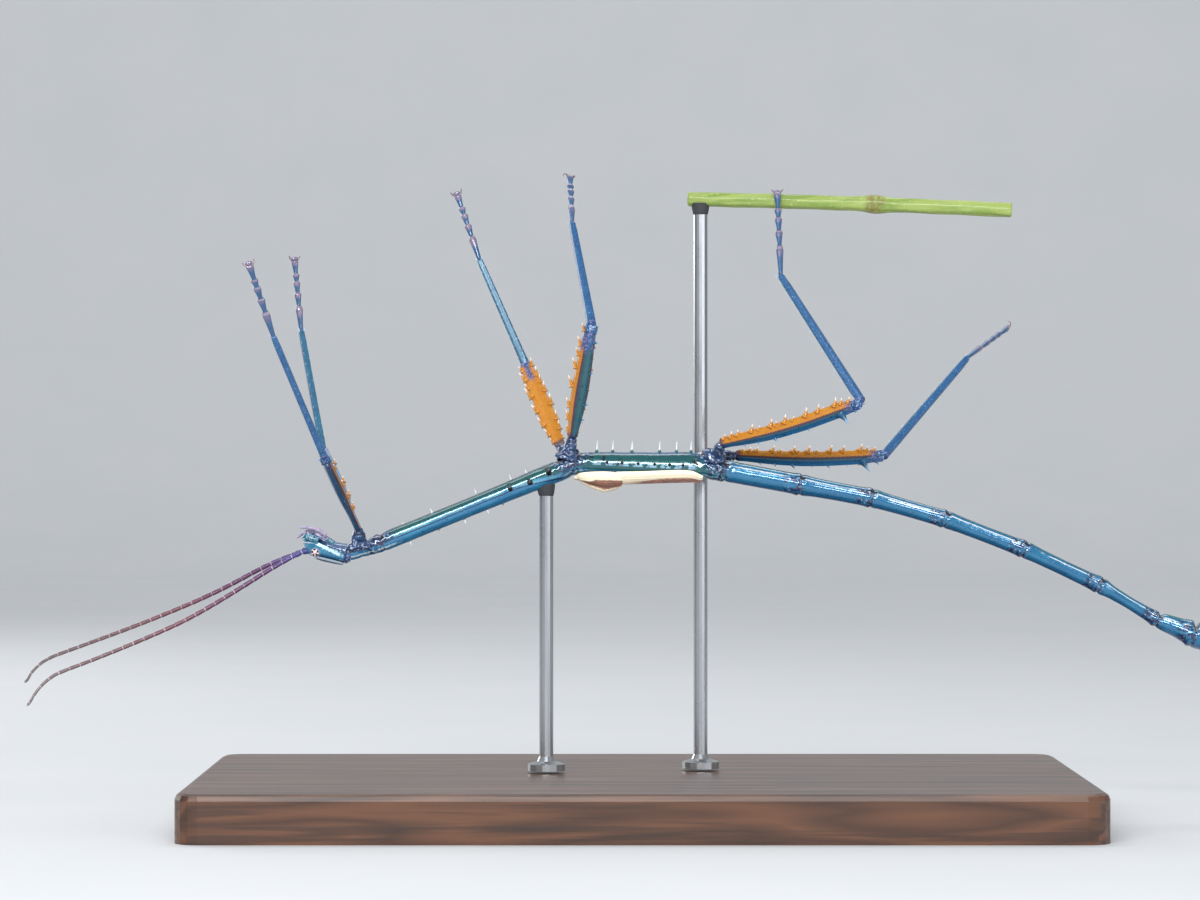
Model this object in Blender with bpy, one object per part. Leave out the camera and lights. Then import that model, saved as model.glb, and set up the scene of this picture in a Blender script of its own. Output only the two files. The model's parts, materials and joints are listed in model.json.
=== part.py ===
"""A giant blue stick insect, a male of Madagascar's Achrioptera, hanging belly up from a cut stem.

Run it with blender --background --python part.py, or from Blender's text editor.
The model is life size, +Z up. The head points to -X, the back faces the floor and the insect's
right side faces -Y. The origin is the middle of the stand's underside.
Sizes below are in millimetres and degrees; finish() turns each mesh into metres.
Each pair of neighbouring solids keeps a gap of 0.3 mm, cut on the plane that halves their bend.
"""

import math

import bmesh
import bpy
from mathutils import Vector

MM = 0.001
GAP = 0.3
LEFT = Vector((0.0, 1.0, 0.0))
UP = Vector((0.0, 0.0, 1.0))
RIGHT_SIDE = -1
LEFT_SIDE = 1
SIDES = (("right", RIGHT_SIDE), ("left", LEFT_SIDE))

# ---------------------------------------------------------------- trunk
NECK = Vector((-37.1, 0.0, 34.0))
HEAD_LENGTH = 5.75
HEAD_HEADING = -15.0

# name, length, heading of its axis above +X, sections (place along it, half width, belly, back)
TRUNK = (
    ("prothorax", 4.7, 15.0, (
        (0.0, 0.95, 1.12, 1.22), (0.13, 1.05, 1.00, 1.22), (0.23, 1.08, 0.66, 1.20),
        (0.35, 1.10, 0.60, 1.18),
        (0.60, 1.15, 0.65, 1.20), (0.85, 1.20, 1.25, 1.25), (1.0, 1.10, 1.15, 1.15))),
    ("mesothorax", 26.5, 22.0, (
        (0.0, 1.10, 1.15, 1.15), (0.05, 1.20, 1.25, 1.25), (0.14, 1.15, 1.20, 1.20),
        (0.25, 1.15, 1.20, 1.20), (0.36, 1.15, 1.20, 1.20), (0.47, 1.15, 1.20, 1.20),
        (0.58, 1.20, 1.25, 1.20), (0.68, 1.25, 1.30, 1.25), (0.78, 1.35, 1.40, 1.30),
        (0.87, 1.55, 1.55, 1.45), (0.94, 1.62, 1.20, 1.35), (1.0, 1.45, 1.15, 0.95))),
    ("metathorax", 18.9, -2.5, (
        (0.0, 1.50, 1.30, 1.20), (0.06, 1.55, 1.60, 1.15), (0.20, 1.60, 1.75, 1.10),
        (0.34, 1.60, 1.85, 1.10), (0.48, 1.60, 1.95, 1.08), (0.62, 1.65, 2.05, 1.00),
        (0.74, 1.70, 2.20, 0.92), (0.84, 1.75, 2.20, 0.85), (0.92, 1.70, 1.48, 1.35),
        (1.0, 1.50, 1.35, 1.45))),
)
# length, heading, half depth at its middle, half depth at its rear collar
ABDOMEN = (
    (9.7, -10.5, 1.40, 1.38),
    (9.2, -10.5, 1.22, 1.24),
    (9.7, -16.0, 1.12, 1.16),
    (10.7, -21.0, 1.04, 1.12),
    (10.6, -25.5, 1.00, 1.08),
    (8.5, -31.0, 0.78, 0.98),
    (4.8, -21.0, 1.30, 1.80),
    (4.9, -15.0, 1.90, 1.75),
    (4.2, -12.0, 1.45, 0.95),
)
FIRST_ABDOMEN_SEGMENT = 2
WAIST_DEPTH = 1.40
ABDOMEN_FLATNESS = 0.96
ABDOMEN_BULGE = 1.06
TRUNK_SIDES = 12
CERCUS_LENGTH = 1.6
CERCUS_SHAPE = ((0.0, 0.30), (0.4, 0.36), (0.85, 0.28), (1.0, 0.12))

# ---------------------------------------------------------------- spines of the thorax
# place along the segment, turn from the right flank over the belly, height, half width at the foot
MESOTHORAX_SPINES = (
    (0.27, 75, 0.7, 0.20), (0.27, -105, 0.5, 0.18), (0.50, 105, 0.9, 0.20),
    (0.52, -75, 0.5, 0.18), (0.40, -80, 0.6, 0.18), (0.68, 75, 0.9, 0.20),
    (0.66, 15, 0.6, 0.20), (0.76, 105, 0.6, 0.20), (0.76, 5, 0.8, 0.22),
    (0.86, 15, 0.9, 0.25), (0.60, -100, 0.5, 0.18), (0.12, -80, 0.5, 0.18),
    (0.12, 100, 0.4, 0.18), (0.66, 165, 0.6, 0.20), (0.76, 175, 0.8, 0.22),
    (0.86, 165, 0.9, 0.25),
)
METATHORAX_BELLY_SPINES = (0.13, 0.235, 0.365, 0.55, 0.665, 0.76)
METATHORAX_FLANK_SPINES = (0.20, 0.30, 0.41, 0.52, 0.62, 0.71)
BELLY_SPINE_HEIGHT = 1.55
FLANK_SPINE_HEIGHT = 0.6

# ---------------------------------------------------------------- wings
WING_THICKNESS = 0.5
WING_CLEARANCE = 0.22
# place along the metathorax, how high its edge stands on the flank (degrees), how far it stands
# off the back
FOREWING = ((-0.012, -62, 0.05), (0.03, -38, 0.45), (0.09, -24, 1.0), (0.19, -18, 1.4),
            (0.25, -22, 1.1), (0.315, -42, 0.6))
HIND_WING = ((0.34, -14, 0.45), (0.44, -4, 0.22), (0.56, 3, 0.12), (0.68, 7, 0.08), (0.77, 6, 0.0),
             (0.81, -12, 0.0), (0.84, -45, 0.0))
WING_STEPS = 4

# ---------------------------------------------------------------- head
# distance in front of the neck, half width, belly, back
HEAD_SECTIONS = (
    (5.75, 0.50, 0.15, 0.45), (5.40, 0.85, 0.25, 0.85), (4.90, 1.20, 0.40, 1.25),
    (4.30, 1.45, 0.60, 1.58), (3.60, 1.55, 0.70, 1.80), (2.80, 1.55, 0.78, 1.88),
    (1.70, 1.50, 0.95, 1.88), (0.65, 1.40, 1.08, 1.82), (0.0, 1.05, 1.12, 1.45),
)
HEAD_SIDES = 14
EYE_RADIUS = 0.62
EYE_PLACE = (3.87, 1.04, -0.98)
EYE_SOCKET_CLEARANCE = 0.15
# distance in front of the neck, height above the axis, half width, half height
MOUTH_SECTIONS = (
    (6.00, 0.52, 0.50, 0.25), (5.60, 0.92, 0.85, 0.40), (5.00, 1.17, 1.05, 0.47),
    (4.20, 1.34, 1.05, 0.42), (3.50, 1.36, 0.90, 0.32), (2.90, 1.25, 0.65, 0.16),
    (2.40, 1.16, 0.40, 0.10),
)
# distance in front of the neck, sideways, height above the axis
PALP_RIGHT = ((3.30, -1.45, 1.50), (4.10, -1.55, 1.88), (5.10, -1.50, 1.90), (6.05, -1.25, 1.68),
              (6.72, -1.05, 1.48))
PALP_LEFT = ((4.60, 1.50, 1.55), (5.30, 1.55, 1.38), (5.95, 1.45, 1.05), (6.50, 1.25, 0.48),
             (6.80, 1.10, 0.00))
PALP_RADIUS = 0.26

# ---------------------------------------------------------------- antennae
ANTENNA_BASE = (5.45, 0.62, -1.28)
ANTENNA_LENGTH = 40.3
ANTENNA_RADII = (0.35, 0.25)
ANTENNA_RINGS = 24
# place along it and how far its heading droops below the horizontal there
ANTENNA_DROOP = {
    "right": ((0.0, 26), (0.16, 33), (0.34, 31), (0.50, 24), (0.84, 20), (0.92, 48), (1.0, 70)),
    "left": ((0.0, 18), (0.20, 29), (0.40, 23), (0.70, 20), (0.87, 20), (0.94, 46), (1.0, 72)),
}
ANTENNA_SPLAY = {"right": 12.0, "left": 4.0}

# ---------------------------------------------------------------- legs
# pair: trunk segment, place along it, rise above its axis, half spacing, lengths of
# coxa, femur, tibia and tarsus
LEG_PAIRS = {
    "fore": ("prothorax", 1.55, 0.45, 1.15, (2.2, 17.5, 17.5, 9.6)),
    "mid": ("mesothorax", 25.85, 1.27, 1.0, (2.7, 15.0, 15.2, 9.2)),
    "hind": ("metathorax", 17.45, 1.60, 1.0, (2.8, 19.5, 20.6, 11.2)),
}
# leg: pitch above +X and splay out from the body for coxa, femur, tibia and tarsus
LEG_POSES = {
    ("fore", "right"): ((87, 19.5), (110, 56), (111, 27), (107, 21)),
    ("fore", "left"): ((95.5, 24.5), (118, 49), (102, 22.5), (96, 6.5)),
    ("mid", "right"): ((78.5, 11), (80, 18.5), (101.5, -27.5), (91.5, -45.5)),
    ("mid", "left"): ((127, 47), (113.5, 40), (113.5, 6.5), (109.5, 10.5)),
    ("hind", "right"): ((70, 45.5), (16.5, 22.5), (121, -24), (91.5, -16.5)),
    ("hind", "left"): ((4, 13), (0, 12.5), (47.5, 31.5), (34, 49)),
}
COXA_START = {"fore": 0.70, "mid": 0.62, "hind": 0.95}
COXA_RADIUS = {"fore": 0.92, "mid": 0.85, "hind": 0.80}
# place along it, half width, belly, back; a coxa's are shares of its radius
COXA_SECTIONS = ((0.0, 0.66, 0.66, 0.66), (0.3, 1.0, 1.0, 1.0), (0.7, 0.96, 0.96, 0.96),
                 (1.0, 0.72, 0.72, 0.72))
FEMUR_SECTIONS = {
    "fore": ((0.0, 0.46, 0.44, 0.46), (0.10, 0.43, 0.40, 0.43), (0.24, 0.50, 0.50, 0.52),
             (0.38, 0.62, 0.62, 0.62), (0.52, 0.68, 0.68, 0.66), (0.66, 0.66, 0.66, 0.66),
             (0.80, 0.63, 0.60, 0.62), (0.92, 0.60, 0.56, 0.62), (1.0, 0.52, 0.46, 0.52)),
    "mid": ((0.0, 0.66, 0.58, 0.62), (0.10, 0.82, 0.70, 0.74), (0.24, 1.02, 0.84, 0.92),
            (0.38, 1.12, 0.86, 0.98), (0.52, 1.10, 0.86, 0.98), (0.66, 1.02, 0.84, 0.95),
            (0.80, 0.92, 0.78, 0.90), (0.92, 0.84, 0.70, 0.85), (1.0, 0.72, 0.58, 0.70)),
    "hind": ((0.0, 0.62, 0.60, 0.64), (0.07, 0.72, 0.68, 0.76), (0.19, 0.82, 0.76, 0.92),
             (0.31, 0.86, 0.78, 1.00), (0.43, 0.88, 0.78, 1.06), (0.55, 0.88, 0.78, 1.06),
             (0.67, 0.86, 0.80, 1.02), (0.79, 0.84, 0.84, 0.98), (0.91, 0.80, 0.78, 0.92),
             (1.0, 0.68, 0.60, 0.70)),
}
TIBIA_SECTIONS = {
    "fore": ((0.0, 0.50, 0.46, 0.52), (0.09, 0.50, 0.48, 0.52), (0.25, 0.48, 0.46, 0.50),
             (0.60, 0.46, 0.44, 0.48), (0.93, 0.46, 0.44, 0.46), (1.0, 0.38, 0.36, 0.38)),
    "mid": ((0.0, 0.66, 0.54, 0.62), (0.10, 0.62, 0.55, 0.62), (0.25, 0.58, 0.54, 0.58),
            (0.60, 0.54, 0.50, 0.54), (0.93, 0.48, 0.46, 0.48), (1.0, 0.38, 0.36, 0.38)),
    "hind": ((0.0, 0.64, 0.56, 0.66), (0.09, 0.68, 0.62, 0.72), (0.25, 0.64, 0.60, 0.66),
             (0.60, 0.60, 0.56, 0.60), (0.93, 0.54, 0.52, 0.54), (1.0, 0.40, 0.38, 0.40)),
}
TOOTH_HEIGHT = {"fore": 0.50, "mid": 0.75, "hind": 0.70}
TOOTH_LEAN = 0.45
BACK_SPINES = {
    "fore": ((0.45, 0.3), (0.70, 0.3)),
    "mid": ((0.17, 0.4), (0.31, 0.45), (0.59, 0.35), (0.86, 0.5)),
    "hind": ((0.25, 0.4), (0.37, 0.55), (0.61, 0.45), (0.85, 1.35)),
}
TARSOMERES = (0.36, 0.18, 0.155, 0.105, 0.20)
TARSUS_WAIST = 0.26
TARSUS_LOBE = 0.36
TARSUS_SIDES = 6
CLAW_LENGTH = 0.95
GRIPPING_SOLE = Vector((0.0, 1.0, 0.25))

# ---------------------------------------------------------------- perch and stand
STEM_LEFT = Vector((6.2, 4.1, 79.15))
STEM_RIGHT = Vector((47.0, -2.1, 77.35))
STEM_RADIUS = 0.92
STEM_KNUCKLE = 0.58
STEM_SAG = -0.15
STEM_SIDES = 10
STEM_RINGS = 9
BASE_SIZE = Vector((112.0, 64.0, 6.0))
BASE_CORNER = 3.0
ROD_RADIUS = 0.9
ROD_FOOT_RADIUS = 2.4
ROD_FOOT_HEIGHT = 1.2
BODY_ROD = Vector((-11.9, 0.0, 0.0))
BODY_ROD_TOP = 41.68
BODY_ROD_SLOPE = 22.0
PERCH_ROD_OFFSET = 1.6
ROD_SIDES = 16

# colour, roughness, metallic
FINISHES = {
    "blue_cuticle": ((0.03, 0.20, 0.42), 0.25, 0.0),
    "teal_cuticle": ((0.01, 0.16, 0.15), 0.30, 0.0),
    "violet_joint": ((0.12, 0.11, 0.34), 0.35, 0.0),
    "leg_blue": ((0.03, 0.13, 0.35), 0.28, 0.0),
    "thigh_orange": ((0.72, 0.27, 0.02), 0.40, 0.0),
    "antenna_mauve": ((0.16, 0.08, 0.16), 0.45, 0.0),
    "eye_pearl": ((0.75, 0.55, 0.60), 0.15, 0.0),
    "palp_lilac": ((0.55, 0.48, 0.52), 0.40, 0.0),
    "wing_cream": ((0.85, 0.72, 0.50), 0.40, 0.0),
    "green_stem": ((0.35, 0.52, 0.10), 0.50, 0.0),
    "walnut": ((0.09, 0.045, 0.022), 0.45, 0.0),
    "steel": ((0.62, 0.63, 0.65), 0.30, 1.0),
}


# ================================================================ tools
def clear_scene():
    for item in list(bpy.data.objects):
        bpy.data.objects.remove(item, do_unlink=True)


def new_collection(name, hidden=False):
    group = bpy.data.collections.new(name)
    bpy.context.scene.collection.children.link(group)
    group.hide_render = hidden
    return group


def make_finish(name, finish):
    """A material of the node's own, in one of the named finishes."""
    colour, roughness, metallic = FINISHES[finish]
    material = bpy.data.materials.new(name + "_" + finish)
    material.use_nodes = True
    shader = material.node_tree.nodes["Principled BSDF"]
    shader.inputs["Base Color"].default_value = (*colour, 1.0)
    shader.inputs["Roughness"].default_value = roughness
    shader.inputs["Metallic"].default_value = metallic
    return material


def finish(bm, name, look, group):
    """Turns a mesh in millimetres into a smooth object in metres, with its faces outwards."""
    bmesh.ops.scale(bm, vec=(MM, MM, MM), verts=bm.verts)
    bmesh.ops.recalc_face_normals(bm, faces=bm.faces)
    mesh = bpy.data.meshes.new(name)
    bm.to_mesh(mesh)
    bm.free()
    mesh.shade_smooth()
    mesh.set_sharp_from_angle(angle=math.radians(50))
    item = bpy.data.objects.new(name, mesh)
    item.data.materials.append(make_finish(name, look))
    group.objects.link(item)
    return item


def direction(pitch, splay=0.0, side=LEFT_SIDE):
    """The unit vector raised by pitch in the XZ plane and swung out by splay to one side."""
    rise = math.radians(pitch)
    swing = math.radians(splay)
    return Vector((
        math.cos(rise) * math.cos(swing), side * math.sin(swing), math.sin(rise) * math.cos(swing)))


def ellipse(width, belly, back, sides=TRUNK_SIDES):
    """Points of a section, sideways and belly-wards, with its two halves of unlike depth."""
    points = []
    for k in range(sides):
        turn = 2 * math.pi * (k + 0.5) / sides
        depth = belly if math.sin(turn) > 0 else back
        points.append((width * math.cos(turn), depth * math.sin(turn)))
    return points


def slim(width, belly, back):
    return ellipse(width, belly, back, TARSUS_SIDES)


def slender(width, belly, back):
    return ellipse(width, belly, back, 8)


def rounded_head(width, belly, back):
    return ellipse(width, belly, back, HEAD_SIDES)


def keeled(width, belly, back):
    """A thigh's section: two keels beside a flat belly face, and a ridged back."""
    right_half = ((0.0, -1.0), (0.75, -0.62), (1.0, 0.05), (0.82, 0.95), (0.0, 0.78))
    left_half = tuple((-w, v) for w, v in reversed(right_half[1:4]))
    return [(w * width, v * (belly if v > 0 else back)) for w, v in right_half + left_half]


def loft(bm, rings):
    """Skins a row of rings with as many points each, and closes both ends."""
    loops = [[bm.verts.new(point) for point in ring] for ring in rings]
    for low, high in zip(loops, loops[1:]):
        for k in range(len(low)):
            after = (k + 1) % len(low)
            bm.faces.new((low[k], low[after], high[after], high[k]))
    bm.faces.new(list(reversed(loops[0])))
    bm.faces.new(loops[-1])


def slide_to_plane(ring, along, joint, normal, offset):
    """Moves a ring's points along the segment until they lie in the joint's plane."""
    slope = along.dot(normal)
    return [point + along * ((offset - (point - joint).dot(normal)) / slope) for point in ring]


def frame_of(start, end, belly):
    along = (end - start).normalized()
    belly = (belly - along * belly.dot(along)).normalized()
    return along, belly, along.cross(belly)


def segment_rings(start, end, belly, stations, section, before=None, after=None):
    """Rings of one body segment. before and after are its neighbours' directions at each end."""
    along, belly, sideways = frame_of(start, end, belly)
    length = (end - start).length
    rings = []
    for place, width, deep, back in stations:
        centre = start + along * (length * place)
        rings.append([centre + sideways * w + belly * v for w, v in section(width, deep, back)])
    if before is not None:
        rings[0] = slide_to_plane(rings[0], along, start, (along + before).normalized(), GAP / 2)
    if after is not None:
        rings[-1] = slide_to_plane(rings[-1], along, end, (along + after).normalized(), -GAP / 2)
    return rings


def raise_spines(bm, spines):
    """Grows a four-sided spine on the nearest face to each foot. A spine is foot, tip, half width."""
    bm.normal_update()
    free = list(bm.faces)
    for foot, tip, half_width in spines:
        face = min(free, key=lambda item: (item.calc_center_median() - foot).length)
        free.remove(face)
        middle = face.calc_center_median()
        edges = sorted(face.edges, key=lambda edge: edge.calc_length())
        long_edge = edges[-1]
        lengthways = (long_edge.verts[1].co - long_edge.verts[0].co).normalized()
        crossways = face.normal.cross(lengthways).normalized()
        room = max(0.0, long_edge.calc_length() / 2 - 1.5 * half_width)
        shift = max(-room, min(room, (foot - middle).dot(lengthways)))
        across = min(half_width, 0.38 * edges[0].calc_length())
        bmesh.ops.inset_individual(bm, faces=[face], thickness=0.01)
        centre = middle + lengthways * shift
        for corner in face.verts:
            offset = corner.co - middle
            reach = math.copysign(half_width, offset.dot(lengthways))
            spread = math.copysign(across, offset.dot(crossways))
            corner.co = centre + lengthways * reach + crossways * spread
        summit = bmesh.ops.poke(bm, faces=[face])["verts"][0]
        summit.co = tip


def grow(bm, face, steps):
    """Draws a face out through steps of (centre, size against the last), and ends it in a point."""
    for centre, size in steps[:-1]:
        face = bmesh.ops.extrude_discrete_faces(bm, faces=[face])["faces"][0]
        middle = face.calc_center_median()
        for corner in face.verts:
            corner.co = centre + (corner.co - middle) * size
    summit = bmesh.ops.poke(bm, faces=[face])["verts"][0]
    summit.co = steps[-1][0]


# ================================================================ trunk
def abdomen_sections(middle, collar, previous):
    """A ringed segment: a narrow front, a straight middle and a raised rear collar."""
    rows = (
        (0.0, previous * 0.95), (0.06, previous), (0.20, (previous + 2 * middle) / 3), (0.5, middle),
        (0.85, (middle + 2 * collar) / 3), (0.95, collar * ABDOMEN_BULGE), (1.0, collar * 0.95))
    return tuple((place, depth * ABDOMEN_FLATNESS, depth, depth) for place, depth in rows)


def trunk_table():
    """Every trunk segment behind the neck: name, start, end, heading and sections."""
    table = []
    rows = list(TRUNK)
    previous = WAIST_DEPTH
    for number, (length, heading, middle, collar) in enumerate(ABDOMEN, FIRST_ABDOMEN_SEGMENT):
        name = "abdomen_" + str(number)
        rows.append((name, length, heading, abdomen_sections(middle, collar, previous)))
        previous = collar
    start = NECK
    for name, length, heading, sections in rows:
        end = start + direction(heading) * length
        table.append((name, start, end, heading, sections))
        start = end
    return table


def belly_of(heading):
    return direction(heading + 90)


def section_at(sections, place):
    """Half width, belly and back between two of a segment's sections."""
    place = max(place, sections[0][0])
    for low, high in zip(sections, sections[1:]):
        if place <= high[0]:
            share = (place - low[0]) / (high[0] - low[0])
            return [a + (b - a) * share for a, b in zip(low[1:], high[1:])]
    return list(sections[-1][1:])


def spine_on_trunk(start, end, heading, sections, place, turn, height, half_width):
    """Foot and tip of a spine at a turn of 0 on the right flank, 90 on the belly."""
    width, deep, back = section_at(sections, place)
    depth = deep if turn > 0 else back
    outwards = -LEFT * math.cos(math.radians(turn)) + belly_of(heading) * math.sin(math.radians(turn))
    centre = start.lerp(end, place)
    flank = -LEFT * (width * math.cos(math.radians(turn)))
    foot = centre + flank + belly_of(heading) * (depth * math.sin(math.radians(turn)))
    return foot, foot + outwards * height, half_width


def build_trunk(group, table):
    for index, (name, start, end, heading, sections) in enumerate(table):
        bm = bmesh.new()
        before = direction(HEAD_HEADING if index == 0 else table[index - 1][3])
        last = index == len(table) - 1
        after = None if last else direction(table[index + 1][3])
        belly = belly_of(heading)
        loft(bm, segment_rings(start, end, belly, sections, ellipse, before, after))
        if name == "mesothorax":
            rows = [spine_on_trunk(start, end, heading, sections, *spine) for spine in MESOTHORAX_SPINES]
            raise_spines(bm, rows)
        if name == "metathorax":
            rows = []
            for place in METATHORAX_BELLY_SPINES:
                spine = (place, 90, BELLY_SPINE_HEIGHT, 0.22)
                rows.append(spine_on_trunk(start, end, heading, sections, *spine))
            for place in METATHORAX_FLANK_SPINES:
                for turn in (15, 165):
                    spine = (place, turn, FLANK_SPINE_HEIGHT, 0.2)
                    rows.append(spine_on_trunk(start, end, heading, sections, *spine))
            raise_spines(bm, rows)
        finish(bm, name, "blue_cuticle" if name.startswith("abdomen") else "teal_cuticle", group)


def build_cerci(group, table):
    """The two blunt feelers at the tail end."""
    _, start, end, heading, _ = table[-1]
    for label, side in SIDES:
        bm = bmesh.new()
        foot = end + direction(heading) * GAP + LEFT * (side * 0.55)
        tip = foot + direction(heading - 8, 12, side) * CERCUS_LENGTH
        stations = [(place, radius, radius, radius) for place, radius in CERCUS_SHAPE]
        loft(bm, segment_rings(foot, tip, belly_of(heading), stations, slim))
        finish(bm, "cercus_" + label, "blue_cuticle", group)


def wing_ring(centre, belly, sections, place, edge, swell, side):
    """A bent strip round the back: out along its outer face, home along its inner one."""
    width, _, back = section_at(sections, place)
    inner_width = width + WING_CLEARANCE
    inner_back = back + WING_CLEARANCE
    start_turn = -90 + math.degrees(GAP / 2 / (inner_width + WING_THICKNESS))
    outer = []
    inner = []
    for k in range(WING_STEPS + 1):
        turn = math.radians(start_turn + (edge - start_turn) * k / WING_STEPS)
        lift = swell * math.cos(math.pi / 2 * k / WING_STEPS)
        for row, extra in ((outer, WING_THICKNESS), (inner, 0.0)):
            reach = max(math.cos(turn) * (inner_width + extra), GAP / 2)
            depth = math.sin(turn) * (inner_back + extra + lift)
            row.append(centre + LEFT * (side * reach) + belly * depth)
    return outer + inner[::-1]


def build_wings(group, table):
    name, start, end, heading, sections = table[2]
    belly = belly_of(heading)
    for wing, rows in (("forewing", FOREWING), ("hindwing", HIND_WING)):
        for label, side in SIDES:
            bm = bmesh.new()
            rings = []
            for place, edge, swell in rows:
                centre = start.lerp(end, place)
                rings.append(wing_ring(centre, belly, sections, place, edge, swell, side))
            loft(bm, rings)
            finish(bm, wing + "_" + label, "wing_cream", group)


# ================================================================ head
def head_point(forwards, sideways, rise):
    """A place on the head, from the neck."""
    along = direction(HEAD_HEADING)
    return NECK - along * forwards + LEFT * sideways + belly_of(HEAD_HEADING) * rise


def ball(bm, centre, radius):
    made = bmesh.ops.create_uvsphere(bm, u_segments=12, v_segments=8, radius=radius)
    bmesh.ops.translate(bm, vec=centre, verts=made["verts"])


def build_head(group, cutters):
    bm = bmesh.new()
    front = head_point(HEAD_LENGTH, 0, 0)
    stations = [(1 - row[0] / HEAD_LENGTH,) + row[1:] for row in HEAD_SECTIONS]
    after = direction(TRUNK[0][2])
    loft(bm, segment_rings(front, NECK, belly_of(HEAD_HEADING), stations, rounded_head, None, after))
    head = finish(bm, "head", "blue_cuticle", group)
    forwards, sideways, rise = EYE_PLACE
    for label, side in SIDES:
        place = head_point(forwards, side * sideways, rise)
        bm = bmesh.new()
        ball(bm, place, EYE_RADIUS)
        finish(bm, "eye_" + label, "eye_pearl", group)
        bm = bmesh.new()
        ball(bm, place, EYE_RADIUS + EYE_SOCKET_CLEARANCE)
        socket = finish(bm, "socket_" + label, "eye_pearl", cutters)
        socket.hide_render = True
        socket.display_type = "WIRE"
        cut = head.modifiers.new("socket_" + label, "BOOLEAN")
        cut.operation = "DIFFERENCE"
        cut.solver = "EXACT"
        cut.object = socket


def build_mouth(group):
    bm = bmesh.new()
    belly = belly_of(HEAD_HEADING)
    rings = []
    for forwards, rise, width, height in MOUTH_SECTIONS:
        centre = head_point(forwards, 0, rise)
        rings.append([centre + LEFT * w + belly * v for w, v in ellipse(width, height, height, 10)])
    loft(bm, rings)
    finish(bm, "mouthparts", "palp_lilac", group)


def tube_rings(points, radii, sides):
    """Round rings along a smooth row of points."""
    rings = []
    for index, centre in enumerate(points):
        ahead = points[min(index + 1, len(points) - 1)]
        behind = points[max(index - 1, 0)]
        along, upwards, sideways = frame_of(behind, ahead, UP)
        section = ellipse(radii[index], radii[index], radii[index], sides)
        rings.append([centre + sideways * w + upwards * v for w, v in section])
    return rings


def build_palps(group):
    for label, places in (("right", PALP_RIGHT), ("left", PALP_LEFT)):
        bm = bmesh.new()
        points = [head_point(*place) for place in places]
        radii = [PALP_RADIUS] * (len(points) - 1) + [PALP_RADIUS * 0.8]
        loft(bm, tube_rings(points, radii, 6))
        finish(bm, "palp_" + label, "palp_lilac", group)


def droop_at(rows, place):
    for (low, first), (high, second) in zip(rows, rows[1:]):
        if place <= high:
            return first + (second - first) * (place - low) / (high - low)
    return rows[-1][1]


def build_antennae(group):
    forwards, sideways, rise = ANTENNA_BASE
    for label, side in SIDES:
        points = [head_point(forwards, side * sideways, rise)]
        step = ANTENNA_LENGTH / (ANTENNA_RINGS - 1)
        for k in range(ANTENNA_RINGS - 1):
            droop = droop_at(ANTENNA_DROOP[label], (k + 0.5) / (ANTENNA_RINGS - 1))
            points.append(points[-1] + direction(180 + droop, ANTENNA_SPLAY[label], side) * step)
        thick, thin = ANTENNA_RADII
        radii = [thick + (thin - thick) * k / (ANTENNA_RINGS - 1) for k in range(ANTENNA_RINGS)]
        bm = bmesh.new()
        loft(bm, tube_rings(points, radii, 6))
        finish(bm, "antenna_" + label, "antenna_mauve", group)


# ================================================================ legs
def flexed_side(along, neighbour):
    """The side of a segment that a bend closes towards."""
    return (neighbour - along * neighbour.dot(along)).normalized()


def build_coxa(group, leg, pair, base, hip, femur_way):
    along = (hip - base).normalized()
    start = base + along * COXA_START[pair]
    bm = bmesh.new()
    radius = COXA_RADIUS[pair]
    sections = [(row[0], row[1] * radius, row[2] * radius, row[3] * radius) for row in COXA_SECTIONS]
    loft(bm, segment_rings(start, hip, UP.cross(along), sections, slender, None, femur_way))
    finish(bm, leg + "_coxa", "violet_joint", group)


def build_femur(group, leg, pair, hip, knee, before, after, belly):
    bm = bmesh.new()
    stations = FEMUR_SECTIONS[pair]
    loft(bm, segment_rings(hip, knee, belly, stations, keeled, before, after))
    along, belly, sideways = frame_of(hip, knee, belly)
    spines = []
    height = TOOTH_HEIGHT[pair]
    for low, high in zip(stations[1:-1], stations[2:-1]):
        place = (low[0] + high[0]) / 2
        width = (low[1] + high[1]) / 2
        deep = (low[2] + high[2]) / 2
        for side in (RIGHT_SIDE, LEFT_SIDE):
            foot = hip.lerp(knee, place) + sideways * (side * width * 0.92) + belly * (deep * 0.55)
            tip = hip.lerp(knee, place) + sideways * (side * width * 0.86) + belly * (deep + height)
            spines.append((foot, tip + along * TOOTH_LEAN, 0.26))
    for place, rise in BACK_SPINES[pair]:
        back = next(row[3] for row in stations if row[0] >= place)
        foot = hip.lerp(knee, place) - belly * back * 0.85 + sideways * 0.35
        tip = hip.lerp(knee, place) - belly * (back + rise) + along * (rise * 0.7)
        spines.append((foot, tip, min(0.2 + rise * 0.4, 0.6)))
    raise_spines(bm, spines)
    finish(bm, leg + "_femur", "thigh_orange", group)


def build_tibia(group, leg, pair, knee, ankle, before, after, belly):
    bm = bmesh.new()
    loft(bm, segment_rings(knee, ankle, belly, TIBIA_SECTIONS[pair], slender, before, after))
    finish(bm, leg + "_tibia", "leg_blue", group)


def tarsus_stations():
    """Five little segments, each narrow in front and lobed behind."""
    rows = []
    start = 0.0
    for length in TARSOMERES:
        end = start + length
        rows.append((start + 0.02, TARSUS_WAIST, TARSUS_WAIST, TARSUS_WAIST))
        rows.append((end - 0.25 * length, TARSUS_LOBE * 0.85, TARSUS_LOBE, TARSUS_WAIST * 1.1))
        rows.append((end - 0.015, TARSUS_LOBE, TARSUS_LOBE * 1.05, TARSUS_WAIST * 1.15))
        start = end
    rows[0] = (0.0,) + rows[0][1:]
    rows[-1] = (1.0, TARSUS_LOBE * 0.8, TARSUS_LOBE * 0.8, TARSUS_WAIST)
    return rows


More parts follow.
